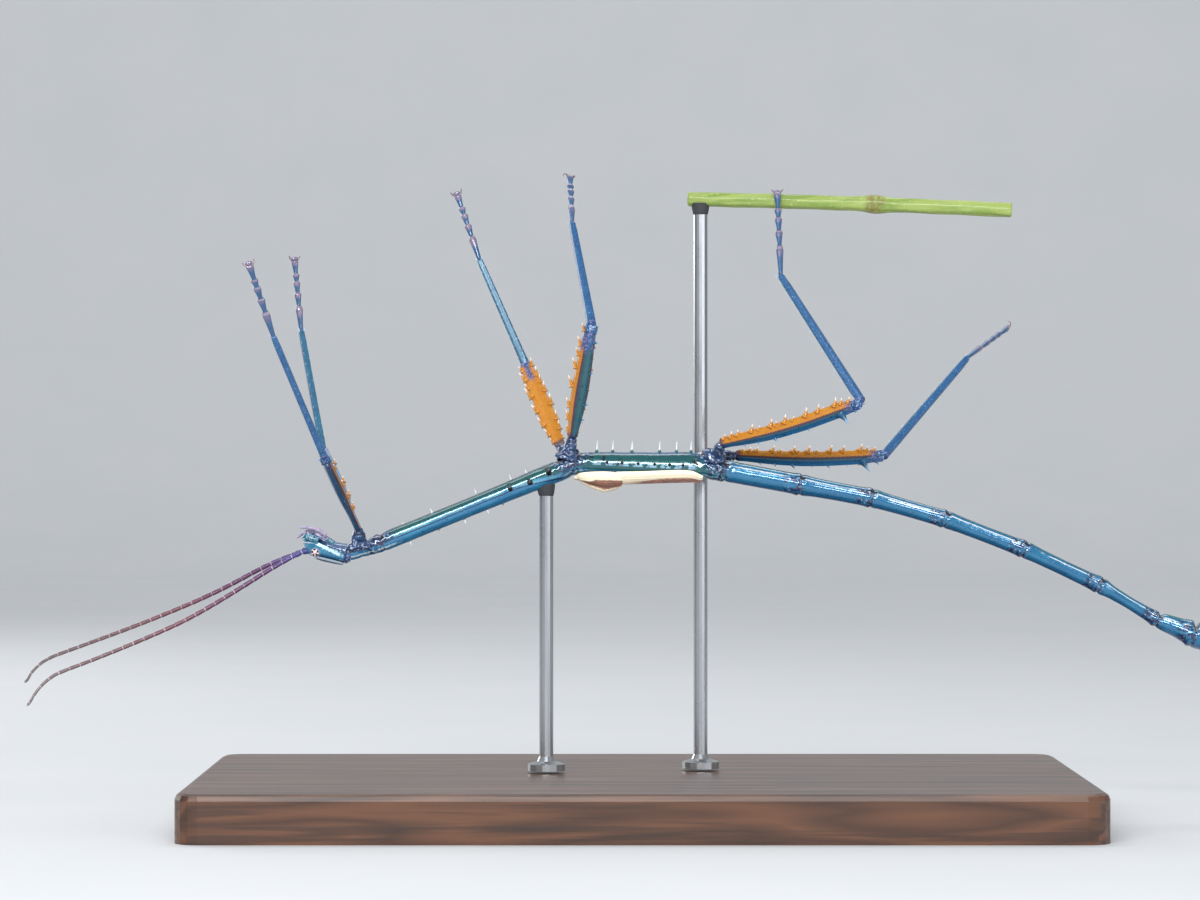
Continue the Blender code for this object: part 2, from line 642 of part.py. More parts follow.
def build_tarsus(group, leg, ankle, toe, before, sole):
    """The foot, with its pad and its two hooked claws."""
    bm = bmesh.new()
    loft(bm, segment_rings(ankle, toe, sole, tarsus_stations(), slim, before, None))
    along, belly, sideways = frame_of(ankle, toe, sole)
    bm.faces.ensure_lookup_table()
    bm.normal_update()
    for side in (RIGHT_SIDE, LEFT_SIDE):
        foot = toe - along * 0.25 + sideways * (side * TARSUS_LOBE)
        walls = [face for face in bm.faces if len(face.verts) == 4]
        face = min(walls, key=lambda item: (item.calc_center_median() - foot).length)
        outwards = sideways * side
        root = face.calc_center_median()
        bend = root + outwards * 0.32 + along * (CLAW_LENGTH * 0.45)
        tip = root + outwards * 0.55 + along * (CLAW_LENGTH * 0.6) + belly * (CLAW_LENGTH * 0.7)
        grow(bm, face, ((bend, 0.45), (tip, 0.0)))
    finish(bm, leg + "_tarsus", "leg_blue", group)


def build_legs(group, table):
    segments = {row[0]: row for row in table}
    for (pair, label), angles in LEG_POSES.items():
        side = LEFT_SIDE if label == "left" else RIGHT_SIDE
        segment, place, rise, spacing, lengths = LEG_PAIRS[pair]
        _, start, _, heading, _ = segments[segment]
        joints = [start + direction(heading) * place + belly_of(heading) * rise + LEFT * (side * spacing)]
        ways = [direction(pitch, splay, side) for pitch, splay in angles]
        for way, length in zip(ways, lengths):
            joints.append(joints[-1] + way * length)
        base, hip, knee, ankle, toe = joints
        leg = pair + "leg_" + label
        thigh_belly = flexed_side(ways[1], ways[2])
        shin_belly = flexed_side(ways[2], -ways[1])
        sole = GRIPPING_SOLE if (pair, label) == ("hind", "right") else shin_belly
        build_coxa(group, leg, pair, base, hip, ways[1])
        build_femur(group, leg, pair, hip, knee, ways[0], ways[2], thigh_belly)
        build_tibia(group, leg, pair, knee, ankle, ways[1], ways[3], shin_belly)
        build_tarsus(group, leg, ankle, toe, ways[2], sole)


# ================================================================ perch and stand
def build_perch(group):
    """A short cut length of green stem with one swollen knuckle."""
    points = []
    radii = []
    for k in range(STEM_RINGS):
        place = k / (STEM_RINGS - 1)
        sag = STEM_SAG * math.sin(math.pi * place)
        points.append(STEM_LEFT.lerp(STEM_RIGHT, place) - UP * sag)
        swelling = 0.22 * math.exp(-((place - STEM_KNUCKLE) / 0.05) ** 2)
        radii.append(STEM_RADIUS + swelling)
    bm = bmesh.new()
    loft(bm, tube_rings(points, radii, STEM_SIDES))
    finish(bm, "perch_stem", "green_stem", group)


def build_base(group):
    bm = bmesh.new()
    bmesh.ops.create_cube(bm, size=1.0)
    bmesh.ops.scale(bm, vec=BASE_SIZE, verts=bm.verts)
    bmesh.ops.translate(bm, vec=(0, 0, BASE_SIZE.z / 2), verts=bm.verts)
    uprights = [edge for edge in bm.edges if abs(edge.verts[0].co.z - edge.verts[1].co.z) > 1]
    bmesh.ops.bevel(bm, geom=uprights, offset=BASE_CORNER, segments=4, profile=0.5, affect="EDGES")
    rim = [edge for edge in bm.edges if all(vert.co.z > BASE_SIZE.z - 0.01 for vert in edge.verts)]
    bmesh.ops.bevel(bm, geom=rim, offset=0.8, segments=2, profile=0.5, affect="EDGES")
    finish(bm, "stand_base", "walnut", group)


def build_rod(group, name, place, top, slope=0.0):
    """A steel rod on a low round foot. Its top can be cut to a slope, in degrees above +X."""
    bottom = BASE_SIZE.z + GAP
    levels = (
        (bottom, ROD_FOOT_RADIUS, 0.0), (bottom + ROD_FOOT_HEIGHT * 0.7, ROD_FOOT_RADIUS, 0.0),
        (bottom + ROD_FOOT_HEIGHT, ROD_RADIUS * 1.3, 0.0),
        (bottom + ROD_FOOT_HEIGHT * 1.5, ROD_RADIUS, 0.0),
        (top - 0.3, ROD_RADIUS, slope), (top, ROD_RADIUS * 0.7, slope))
    rings = []
    for level, radius, tilt in levels:
        rise = math.tan(math.radians(tilt))
        section = ellipse(radius, radius, radius, ROD_SIDES)
        rings.append([Vector((place.x + w, place.y + v, level + w * rise)) for w, v in section])
    bm = bmesh.new()
    loft(bm, rings)
    finish(bm, name, "steel", group)


def build_stand(group):
    build_base(group)
    build_rod(group, "stand_rod_body", BODY_ROD, BODY_ROD_TOP, BODY_ROD_SLOPE)
    along = (STEM_RIGHT - STEM_LEFT).normalized()
    under = STEM_LEFT + along * PERCH_ROD_OFFSET
    build_rod(group, "stand_rod_perch", under, under.z - STEM_RADIUS - GAP)


def main():
    clear_scene()
    group = new_collection("giant_stick_insect")
    cutters = new_collection("cutters", hidden=True)
    table = trunk_table()
    build_head(group, cutters)
    build_mouth(group)
    build_palps(group)
    build_antennae(group)
    build_trunk(group, table)
    build_cerci(group, table)
    build_wings(group, table)
    build_legs(group, table)
    build_perch(group)
    build_stand(group)


main()
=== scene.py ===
# %% [markdown]
# # A giant blue stick insect on its display stand
#
# This script dresses a measured model of a male stick insect from Madagascar. The solids of the
# frame say where every segment, eye, wing and leg is. Around them the script builds thin skins from
# formulas, and gives each one a finish made of shader nodes.
#
# A skin here is always a grid of points: one direction runs along a limb or a body, the other runs
# round it. Working out the whole grid at once with numpy keeps each formula in one line, and the
# same few helpers then make the body, the legs, the feelers and the spines.

# %% Load the frame
import json

import bpy
import numpy as np
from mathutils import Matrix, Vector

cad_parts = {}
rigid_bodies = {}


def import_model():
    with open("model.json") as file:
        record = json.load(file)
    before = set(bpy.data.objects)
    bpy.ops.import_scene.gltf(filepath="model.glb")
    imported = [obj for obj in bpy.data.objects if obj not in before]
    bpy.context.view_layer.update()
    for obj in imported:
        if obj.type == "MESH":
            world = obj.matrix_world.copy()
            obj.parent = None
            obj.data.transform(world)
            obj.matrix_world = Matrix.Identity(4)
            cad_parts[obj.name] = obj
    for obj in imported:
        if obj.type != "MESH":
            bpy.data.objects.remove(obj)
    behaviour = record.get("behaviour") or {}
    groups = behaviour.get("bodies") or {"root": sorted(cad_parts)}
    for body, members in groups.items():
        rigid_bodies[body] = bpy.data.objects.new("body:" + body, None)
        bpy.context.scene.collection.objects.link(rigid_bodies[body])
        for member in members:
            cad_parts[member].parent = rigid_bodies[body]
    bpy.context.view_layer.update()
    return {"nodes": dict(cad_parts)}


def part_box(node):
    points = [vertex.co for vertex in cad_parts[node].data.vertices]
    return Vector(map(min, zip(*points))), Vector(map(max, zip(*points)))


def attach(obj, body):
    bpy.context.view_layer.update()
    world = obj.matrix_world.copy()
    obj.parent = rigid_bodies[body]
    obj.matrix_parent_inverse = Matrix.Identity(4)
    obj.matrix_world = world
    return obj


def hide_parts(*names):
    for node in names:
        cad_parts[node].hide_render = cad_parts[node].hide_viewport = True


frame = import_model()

MM = 0.001
LEFT = np.array([0.0, 1.0, 0.0])
UP = np.array([0.0, 0.0, 1.0])
SIDES = (("right", -1), ("left", 1))

# %% [markdown]
# ## Camera and light
#
# The insect hangs upright in front of a level camera with a long lens, as a close-up of a hanging
# animal is taken. The camera comes first, because every later step is judged through it. Four wide
# lamps light the insect, and a fifth lights the backdrop. Cuticle is glossy, and a long lamp shows
# on it as a long highlight.

# %% Place the camera
CAMERA_PLACE = np.array([-5.08, -500.0, 47.0])
VIEW_WIDTH = 152.4
SENSOR = 36.0


def add_to_scene(name, data):
    """An object for some data, in the scene."""
    item = bpy.data.objects.new(name, data)
    bpy.context.scene.collection.objects.link(item)
    return item


lens = bpy.data.cameras.new("camera")
lens.sensor_width = SENSOR
lens.lens = SENSOR * abs(CAMERA_PLACE[1]) / VIEW_WIDTH
lens.clip_start, lens.clip_end = 0.05, 20.0
camera = add_to_scene("camera", lens)
camera.location = CAMERA_PLACE * MM
camera.rotation_euler = (np.pi / 2, 0.0, 0.0)
bpy.context.scene.camera = camera
print("lens:", round(lens.lens, 1), "mm")

# %% Lights and sky
SUBJECT = (0.0, 0.0, 45.0)
WHITE = (1.0, 1.0, 1.0)
# place, target and size in millimetres, watts, colour
LAMPS = {
    "key_lamp": ((-60, -450, 240), SUBJECT, (440, 44), 2.6, WHITE),
    "fill_lamp": ((420, -260, 120), SUBJECT, (260, 200), 0.5, (0.93, 0.96, 1.0)),
    "top_lamp": ((-40, 140, 460), SUBJECT, (520, 160), 0.9, WHITE),
    "back_lamp": ((-380, 330, 200), SUBJECT, (240, 240), 0.8, WHITE),
    "wall_lamp": ((0, 640, 900), (0, 1320, 240), (2400, 80), 6.0, WHITE),
}
for name, (place, target, size, watts, colour) in LAMPS.items():
    light = bpy.data.lights.new(name, "AREA")
    light.shape = "RECTANGLE"
    light.size, light.size_y = size[0] * MM, size[1] * MM
    light.energy, light.color = watts, colour
    lamp = add_to_scene(name, light)
    lamp.location = np.array(place) * MM
    lamp.rotation_euler = Vector(np.subtract(target, place)).to_track_quat("-Z", "Y").to_euler()
world = bpy.data.worlds.new("studio")
world.use_nodes = True
sky = world.node_tree.nodes["Background"].inputs
sky["Color"].default_value = (0.80, 0.83, 0.86, 1.0)
sky["Strength"].default_value = 0.50
bpy.context.scene.world = world
bpy.context.scene.view_settings.view_transform = "Standard"

# %% [markdown]
# ## Reading the solids
#
# Each segment of the frame is a closed solid with a flat face at both ends. The joint between two
# segments is midway between their flat ends. Measuring the joints, rather than typing them in,
# keeps the skins on the frame if the frame is ever changed. Curved solids, such as the feelers,
# are sliced square to their length, and the middles of the slices make a centre line.


# %% Measure solids
def solid(node):
    """A node's points in millimetres, one for each place, and its triangles."""
    mesh = frame["nodes"][node].data
    points = np.empty(len(mesh.vertices) * 3, np.float32)
    mesh.vertices.foreach_get("co", points)
    mesh.calc_loop_triangles()
    corners = np.empty(len(mesh.loop_triangles) * 3, np.int32)
    mesh.loop_triangles.foreach_get("vertices", corners)
    places = np.round(points.reshape(-1, 3).astype(float) / MM, 3)
    places, which = np.unique(places, axis=0, return_inverse=True)
    return places, which.reshape(-1)[corners].reshape(-1, 3)


def unit(vector):
    """Vectors divided by their lengths."""
    vector = np.asarray(vector, float)
    return vector / np.maximum(np.linalg.norm(vector, axis=-1, keepdims=True), 1e-9)


def longest_way(points):
    """The direction in which a cloud of points is longest."""
    return np.linalg.svd(points - points.mean(0), full_matrices=False)[2][0]


# how alike the directions and the levels of coplanar faces are, how much of a solid's length is
# its end, and how squarely an end faces along it
SAME_WAY, SAME_LEVEL, END_SHARE, FACING = 0.9995, 0.02, 0.12, 0.45


def flat_ends(node, along=None):
    """The middles of a solid's two flat ends: near each end, the coplanar faces that cover most."""
    points, faces = solid(node)
    along = longest_way(points) if along is None else unit(along)
    one, two, three = points[faces].transpose(1, 0, 2)
    normal = np.cross(two - one, three - one)
    area = np.linalg.norm(normal, axis=1)
    normal = unit(normal)
    level = (normal * one).sum(1)
    alike = (normal @ normal.T > SAME_WAY) & (abs(level[:, None] - level) < SAME_LEVEL)
    spread = alike @ area
    reach = points[faces].mean(1) @ along
    near = max(END_SHARE * np.ptp(reach), 1.0)
    ends = []
    for way in (-1, 1):
        at_end = (reach * way).max() - reach * way < near
        best = np.where(at_end & (normal @ along * way > FACING), spread, 0.0).argmax()
        ends.append(points[np.unique(faces[alike[best]])].mean(0))
    return np.array(ends)


def joints_along(nodes, along=None):
    """The free end of the first node, the middle of each gap, and the free end of the last."""
    ends = [flat_ends(node, along) for node in nodes]
    joints = []
    for one, two in zip(ends, ends[1:]):
        gaps = np.linalg.norm(one[:, None] - two[None], axis=2)
        near, far = np.unravel_index(gaps.argmin(), gaps.shape)
        if not joints:
            joints.append(one[1 - near])
        joints.append((one[near] + two[far]) / 2)
        last = two[1 - far]
    return np.array(joints + [last])


def cuts(node, start, along, reaches):
    """The points where a node's edges cross planes square to a direction, one array each."""
    points, faces = solid(node)
    edges = np.concatenate([faces[:, [0, 1]], faces[:, [1, 2]], faces[:, [2, 0]]])
    height = (points - start) @ along
    found = []
    for reach in reaches:
        crossing = edges[np.prod(height[edges] - reach, axis=1) < 0]
        low, high = (height[crossing].T - reach)[..., None]
        one, two = points[crossing].transpose(1, 0, 2)
        found.append(one + (two - one) * (low / (low - high)))
    return found


def centre_line(node, begin, count=25):
    """The middles of slices of a long thin node, from the end that is nearest to begin."""
    points, _ = solid(node)
    along = longest_way(points)
    height = points @ along
    reaches = np.linspace(height.min() + 0.05, height.max() - 0.05, count)
    slices = cuts(node, np.zeros(3), along, reaches)
    line = np.array([(found.min(0) + found.max(0)) / 2 for found in slices])
    nearer = np.linalg.norm(line[[0, -1]] - begin, axis=1).argmin()
    return line[::-1] if nearer else line


TRUNK_NODES = ["head", "prothorax", "mesothorax", "metathorax"]
TRUNK_NODES += ["abdomen_" + str(number) for number in range(2, 11)]
head_front, *trunk_joints = joints_along(TRUNK_NODES, (1.0, 0.0, 0.0))
trunk_joints = np.array(trunk_joints)
trunk_joints[:, 1] = 0.0
print("trunk joints at x:", np.round(trunk_joints[:, 0], 1))

# %% [markdown]
# ## Shells and pieces
#
# A shell is a closed grid with a pole at each end. A piece is one or more shells in one mesh: a
# thigh and its teeth, for example, share a mesh and a finish. Every shell also carries measures,
# such as how far along it a point lies, and the finishes read them as attributes. That lets a
# finish follow a bent limb, which plain coordinates can't do.


# %% Make shells and pieces
def push(grid, axis, height):
    """A grid with its points moved away from an axis by a height."""
    return grid + unit(grid - axis[:, None]) * height[..., None]


def shell(grid, **measures):
    """A grid of points, row by row along and round. Each end closes on the middle of its ring."""
    rows, columns = grid.shape[:2]
    inner = np.arange(rows * columns).reshape(rows, columns)
    beside = np.roll(inner, -1, axis=1)
    quads = np.stack([inner[:-1], beside[:-1], beside[1:], inner[1:]], axis=-1).reshape(-1, 4)
    poles = np.full((2, columns), [[rows * columns], [rows * columns + 1]])
    triangles = np.concatenate([np.stack([poles[0], beside[0], inner[0]], axis=-1),
                                np.stack([poles[1], inner[-1], beside[-1]], axis=-1)])
    points = np.concatenate([grid.reshape(-1, 3), grid[[0, -1]].mean(1)])
    values = {}
    for name, value in measures.items():
        value = np.broadcast_to(value, (rows, columns)).astype(float)
        values[name] = np.concatenate([value.ravel(), value[[0, -1]].mean(1)])
    corners = points[quads]
    spread = np.cross(corners[:, 2] - corners[:, 0], corners[:, 3] - corners[:, 1])
    volume = ((corners.mean(1) - points.mean(0)) * spread).sum()
    if volume < 0:
        quads, triangles = quads[:, ::-1], triangles[:, ::-1]
    return points, quads, triangles, values


def piece(name, shells, look, stands_for=()):
    """One object made of shells, in metres, smooth, riding on the frame."""
    points, quads, triangles, values = zip(*shells)
    shifts = np.cumsum([0] + [len(one) for one in points])
    faces = [np.concatenate([one + shift for one, shift in zip(kind, shifts)]).tolist()
             for kind in (quads, triangles)]
    mesh = bpy.data.meshes.new(name)
    mesh.from_pydata(np.concatenate(points) * MM, [], faces[0] + faces[1])
    for key in values[0]:
        column = np.concatenate([one[key] for one in values]).astype(np.float32)
        mesh.attributes.new(key, "FLOAT", "POINT").data.foreach_set("value", column)
    mesh.shade_smooth()
    mesh.materials.append(look)
    item = add_to_scene(name, mesh)
    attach(item, "root")
    if stands_for:
        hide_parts(*stands_for)
    print(name, len(mesh.polygons), "faces")


# %% [markdown]
# ## Carrying a profile along a path
#
# Limbs, feelers and the body itself are one idea: an outline that changes as it slides along a
# line. `rails` gives each point of the line three directions, ahead, towards the belly and
# sideways. `oval` gives the outline, with its own depth on the belly's and the back's side.


# %% Paths and outlines
def read(places, known, columns):
    """Columns of numbers known at some places, read in straight lines at others."""
    return np.stack([np.interp(places, known, column) for column in np.transpose(columns)], axis=1)


def lengths(points):
    """The distance along a line of points, at each of them."""
    return np.concatenate([[0.0], np.cumsum(np.linalg.norm(np.diff(points, axis=0), axis=1))])


def spread_along(points, count):
    """A path through points, cut into equal steps, with the distance along it."""
    reach = lengths(points)
    places = np.linspace(0.0, reach[-1], count)
    return read(places, reach, points), places


def soften(values, steps):
    """A running mean over a number of steps each way, with the ends held."""
    values = np.asarray(values, float)
    padded = np.concatenate([values[:1]] * steps + [values] + [values[-1:]] * steps)
    kernel = np.hanning(2 * steps + 3)[1:-1]
    kernel /= kernel.sum()
    flat = padded.reshape(len(padded), -1)
    made = np.stack([np.convolve(column, kernel, "valid") for column in flat.T], axis=1)
    return made.reshape(values.shape)


def soften_path(path, steps):
    """soften, but the two ends of the path stay where they are."""
    made = soften(path, steps)
    share = np.linspace(0.0, 1.0, len(path))[:, None]
    return made + (path[0] - made[0]) * (1 - share) + (path[-1] - made[-1]) * share


def rails(path, belly):
    """Ahead, belly and sideways at each point of a path. belly is square to ahead."""
    ahead = unit(np.gradient(path, axis=0))
    belly = np.broadcast_to(belly, path.shape)
    belly = unit(belly - ahead * (belly * ahead).sum(1, keepdims=True))
    return ahead, belly, np.cross(ahead, belly)


def turns(sides):
    """Angles round an outline: 0 sideways, a quarter turn at the belly."""
    return np.linspace(0.0, 2 * np.pi, sides, endpoint=False)


def oval(width, belly, back, sides, square=1.0):
    """Outlines with two halves of unlike depth. Below 1, square makes them boxier."""
    turn = turns(sides)
    across = np.sign(np.cos(turn)) * abs(np.cos(turn)) ** square
    rise = np.sign(np.sin(turn)) * abs(np.sin(turn)) ** square
    width, belly, back = [np.atleast_1d(value)[:, None] for value in (width, belly, back)]
    depth = belly + (back - belly) * np.clip(0.5 - 3 * rise, 0, 1)
    return np.stack([width * across, depth * rise], axis=-1)


def carry(path, outline, belly, sideways):
    """The grid of an outline at every point of a path."""
    belly, sideways = [np.broadcast_to(way, path.shape)[:, None] for way in (belly, sideways)]
    return path[:, None] + sideways * outline[..., :1] + belly * outline[..., 1:]


def tube(path, radius, sides):
    """A round tube along a path."""
    _, up, aside = rails(path, UP)
    return carry(path, oval(radius, radius, radius, sides), up, aside)


def table(rows, places):
    """The columns of a table read at places, with each corner eased by a smooth step."""
    rows = np.array(rows, float)
    low = np.clip(np.searchsorted(rows[:, 0], places, side="right") - 1, 0, len(rows) - 2)
    share = np.clip((places - rows[low, 0]) / (rows[low + 1, 0] - rows[low, 0]), 0, 1)
    share = (share + share * share * (3 - 2 * share)) / 2
    return (rows[low, 1:] + (rows[low + 1, 1:] - rows[low, 1:]) * share[:, None]).T


def bell(distance, width):
    """A smooth bump, 1 at no distance, near 0 past twice its width."""
    return np.exp(-((distance / width) ** 2))


def dome(share, least):
    """The rise of a quarter circle over a share from 0 to 1, never below the root of least."""
    return np.sqrt(np.clip(1 - (1 - np.clip(share, 0, 1)) ** 2, least, 1))


# %% [markdown]
# ## Spines
#
# Spines and teeth grow out of the cuticle with a wide foot and a slim shaft. Each one is a small
# cone whose radius falls fast just above the foot, then slowly up to the tip, and whose middle line
# leans over. Its foot starts under the skin, so no slit shows. There are over two hundred, so each
# has only a few dozen faces.


# %% Grow a spine
SPINE_SINK = 0.2


def spine(foot, tip, radius, bend=(0.0, 0.0, 0.0), flare=0.8, sides=8, rows=7, **measures):
    """A cone from under the skin to its tip. Its radius is a line to the tip plus a flared foot."""
    share = np.linspace(0.0, 1.0, rows)[:, None] ** 1.25
    start = foot - unit(tip - foot) * SPINE_SINK
    path = start + (tip - start) * share + np.asarray(bend) * (share * (1 - share) * 4)
    _, side, other = rails(path, unit(np.cross(tip - foot, UP) + 1e-6 * LEFT))
    share = share[:, 0]
    girth = radius * (0.92 * (1 - share) ** 0.8 + 0.03 + flare * np.exp(-share * 9.0))
    grid = carry(path, oval(girth, girth, girth, sides), side, other)
    return shell(grid, tip=np.maximum(share, 0.02)[:, None], **measures)


# %% [markdown]
# ## Writing finishes
#
# A finish is a Principled shader fed by a few nodes. `begin` starts one, each helper after it adds
# a node, and `wear` ends it. What flows between the nodes is wrapped in a `Wire`, so that sums and
# products can be written as such. Colours are given as a painter reads them off a colour chart,
# from 0 to 255. Sizes of patterns are in millimetres. `paint` lays colours over each other, each
# with a mask that says where it shows.


# %% Helpers for finishes
bench = {}


class Wire:
    """A node's output. A sum, difference, product or quotient of wires is a further node."""

    def __init__(self, socket):
        self.socket = socket

    def __add__(self, other):
        return maths("ADD", self, other)

    def __sub__(self, other):
        return maths("SUBTRACT", self, other)

    def __mul__(self, other):
        return maths("MULTIPLY", self, other)

    def __truediv__(self, other):
        return maths("DIVIDE", self, other)


def feed(socket, value):
    """Joins a wire to a socket, or sets the socket to a number or a colour."""
    if isinstance(value, Wire):
        bench["tree"].links.new(value.socket, socket)
    else:
        socket.default_value = value


def add(kind, output, inputs=(), **settings):
    """Adds a node and gives one of its outputs."""
    made = bench["tree"].nodes.new(kind)
    for name, value in settings.items():
        setattr(made, name, value)
    for name, value in dict(inputs).items():
        feed(made.inputs[name], value)
    return Wire(made.outputs[output])


def begin(name, roughness, **sockets):
    """Starts a material, with fixed values for some of the shader's sockets."""
    material = bpy.data.materials.new(name)
    material.use_nodes = True
    shader = material.node_tree.nodes["Principled BSDF"].inputs
    bench.update(material=material, tree=material.node_tree, shader=shader)
    bench["place"] = add("ShaderNodeTexCoord", "Object")
    for socket, value in dict(sockets, Roughness=roughness).items():
        shader[socket.replace("_", " ")].default_value = value


def wear(colour, normal=None, roughness=None):
    """Puts the results on the shader and gives the material."""
    for name, value in (("Base Color", colour), ("Normal", normal), ("Roughness", roughness)):
        if value is not None:
            feed(bench["shader"][name], value)
    return bench["material"]


def measures(*names):
    """Measures that the shells carry."""
    return [add("ShaderNodeAttribute", "Fac", attribute_name=name) for name in names]


def maths(operation, one, two=0.0):
    """A node that does one operation on one or two values."""
    return add("ShaderNodeMath", 0, {0: one, 1: two}, operation=operation)


def edge(value, low, high):
    """0 below low, 1 above high, smooth between."""
    inputs = {"Value": value, "From Min": low, "From Max": high}
    return add("ShaderNodeMapRange", 0, inputs, interpolation_type="SMOOTHSTEP")


def band(value, middle, half, soft):
    """1 within half of the middle, falling to 0 over soft."""
    return edge(maths("ABSOLUTE", value - middle), half + soft, half)


def zigzag(value, pitch):
    """A wave from 0 to 1 and back over a pitch."""
    return maths("PINGPONG", value, pitch / 2) / (pitch / 2)


def pattern(kind, output, size, squeeze, **inputs):
    """A texture with patches of a size, squeezed to less than 1 along the way it is to be long."""
    place = bench["place"]
    if squeeze:
        place = add("ShaderNodeMapping", 0, {"Vector": place, "Scale": squeeze})
    return add(kind, output, {"Vector": place, "Scale": 1 / (size * MM), **inputs})


def cloud(size, detail=2.0, squeeze=None):
    """Soft noise from 0 to 1."""
    return pattern("ShaderNodeTexNoise", 0, size, squeeze, Detail=detail)


def cells(size):
    """The distance to the nearest of scattered points, 0 to about 1."""
    return pattern("ShaderNodeTexVoronoi", "Distance", size, None)


def chart(colour):
    """A colour-chart colour as the linear colour that a shader takes. Wires pass through."""
    if isinstance(colour, Wire):
        return colour
    share = np.array(colour) / 255
    linear = np.where(share > 0.04045, ((share + 0.055) / 1.055) ** 2.4, share / 12.92)
    return (*linear.tolist(), 1.0)


def mix(share, low, high):
    """One colour where the share is 0, another where it is 1."""
    return add("ShaderNodeMix", 2, {0: share, 6: chart(low), 7: chart(high)}, data_type="RGBA")


def paint(colour, *layers):
    """A ground colour under layers, each a mask and a colour, from the bottom up."""
    for mask, layer in layers:
        colour = mix(mask, colour, layer)
    return colour


def tones(value, stops):
    """A colour read off a row of (place, colour)."""
    made = add("ShaderNodeValToRGB", "Color", {"Fac": value})
    ramp = made.socket.node.color_ramp.elements
    for _ in stops[2:]:
        ramp.new(0.5)
    for element, (place, colour) in zip(ramp, stops):
        element.position, element.color = place, chart(colour)
    return made


def relief(height, depth, below=None):
    """Bumps of a depth in millimetres, on top of others."""
    inputs = {"Height": height, "Distance": depth * MM, "Strength": 1.0}
    if below:
        inputs["Normal"] = below
    return add("ShaderNodeBump", 0, inputs)


print("helpers ready")

# %% [markdown]
# ## The cuticle's colours
#
# The living animal is a metallic blue that turns to teal on the belly, with violet skin where the
# legs join and dark collars between the rings. These colours are named once, and used on the body,
# the head and the legs alike, so that all parts look like one animal.

# %% Name the colours
DEEP_BLUE, SKY_BLUE = (16, 84, 136), (50, 134, 172)
TEAL, SEA_GREEN = (10, 70, 86), (20, 92, 86)
VIOLET, LILAC = (40, 42, 92), (122, 118, 166)
NAVY, INK, FROST = (10, 22, 48), (6, 12, 20), (190, 214, 228)
CREAM, BONE, OLIVE = (250, 242, 220), (226, 214, 206), (130, 104, 50)
ORANGE, DEEP_ORANGE, WINE = (190, 130, 16), (150, 84, 12), (70, 20, 48)


def cuticle_grain():
    """Fine pits and soft dents that all glossy cuticle here shares."""
    return relief(edge(cells(0.16), 0.0, 0.30), 0.010, relief(cloud(0.9, 3.0), 0.05))


def dots(size, radius):
    """Scattered dots of a radius, one to each patch of a size, with a noise that frays them."""
    fray = (cloud(size * 0.45, 3.0) - 0.5) * 0.60
    return edge(cells(size) + fray, radius / size + 0.05, radius / size)


def cuticle(colour, roughness=None):
    """Ends a finish of glossy cuticle."""
    return wear(colour, cuticle_grain(), roughness)


# %% [markdown]
# ## The body
#
# Twelve segments in a bent row follow the head. One skin covers them from inside the head to the
# tail, so that no gap of the frame shows. Slices of the solids give its girth. A median over
# neighbouring slices drops the spines, which are added later. On top of the girth come the things
# the frame is too coarse for: a raised rim behind each joint, a groove in it, and the pleat along
# each flank where belly and back plates meet.

# %% Measure the body's girth
PER_SEGMENT = 41
WHOLE_SLICE = 5
MEDIAN_REACH = 4
TRUNK_STEP = 0.16
BEFORE_NECK = 0.7
PAST_TAIL = 0.3


def girths(node, start, end, belly, keep=0.5):
    """Half width, belly and back of slices between two joints. keep: the share without spines."""
    along = unit(end - start)
    belly = unit(belly - along * (belly @ along))
    sideways = np.cross(along, belly)
    places = np.linspace(0.04, 0.96, PER_SEGMENT)
    slices = cuts(node, start, along, places * np.linalg.norm(end - start))
    whole = [number for number, points in enumerate(slices) if len(points) > WHOLE_SLICE]
    rows = []
    for points in [slices[number] for number in whole]:
        across, rise = (points - start) @ sideways, (points - start) @ belly
        rows.append((np.ptp(across) / 2, rise.max(), -rise.min()))
    rows = np.pad(rows, ((MEDIAN_REACH, MEDIAN_REACH), (0, 0)), "edge")
    windows = np.lib.stride_tricks.sliding_window_view(rows, 2 * MEDIAN_REACH + 1, 0)
    return places[whole], np.quantile(windows, keep, axis=-1)


reach = lengths(trunk_joints)
stations, sizes = [], []
for number, node in enumerate(TRUNK_NODES[1:]):
    places, found = girths(node, *trunk_joints[number:number + 2], UP)
    stations.append(reach[number] + (reach[number + 1] - reach[number]) * places)
    sizes.append(found)
trunk_along = np.arange(-BEFORE_NECK, reach[-1] + PAST_TAIL, TRUNK_STEP)
tail_way = unit(trunk_joints[-1] - trunk_joints[-2])
trunk_path = read(trunk_along, reach, trunk_joints)
trunk_path += np.minimum(trunk_along, 0.0)[:, None] * unit(trunk_joints[0] - head_front)
trunk_path += np.maximum(trunk_along - reach[-1], 0.0)[:, None] * tail_way
trunk_path = soften_path(trunk_path, 5)
trunk_sizes = soften(read(trunk_along, np.concatenate(stations), np.concatenate(sizes)), 3)
print("body:", round(reach[-1], 1), "mm long,", len(trunk_along), "rings")

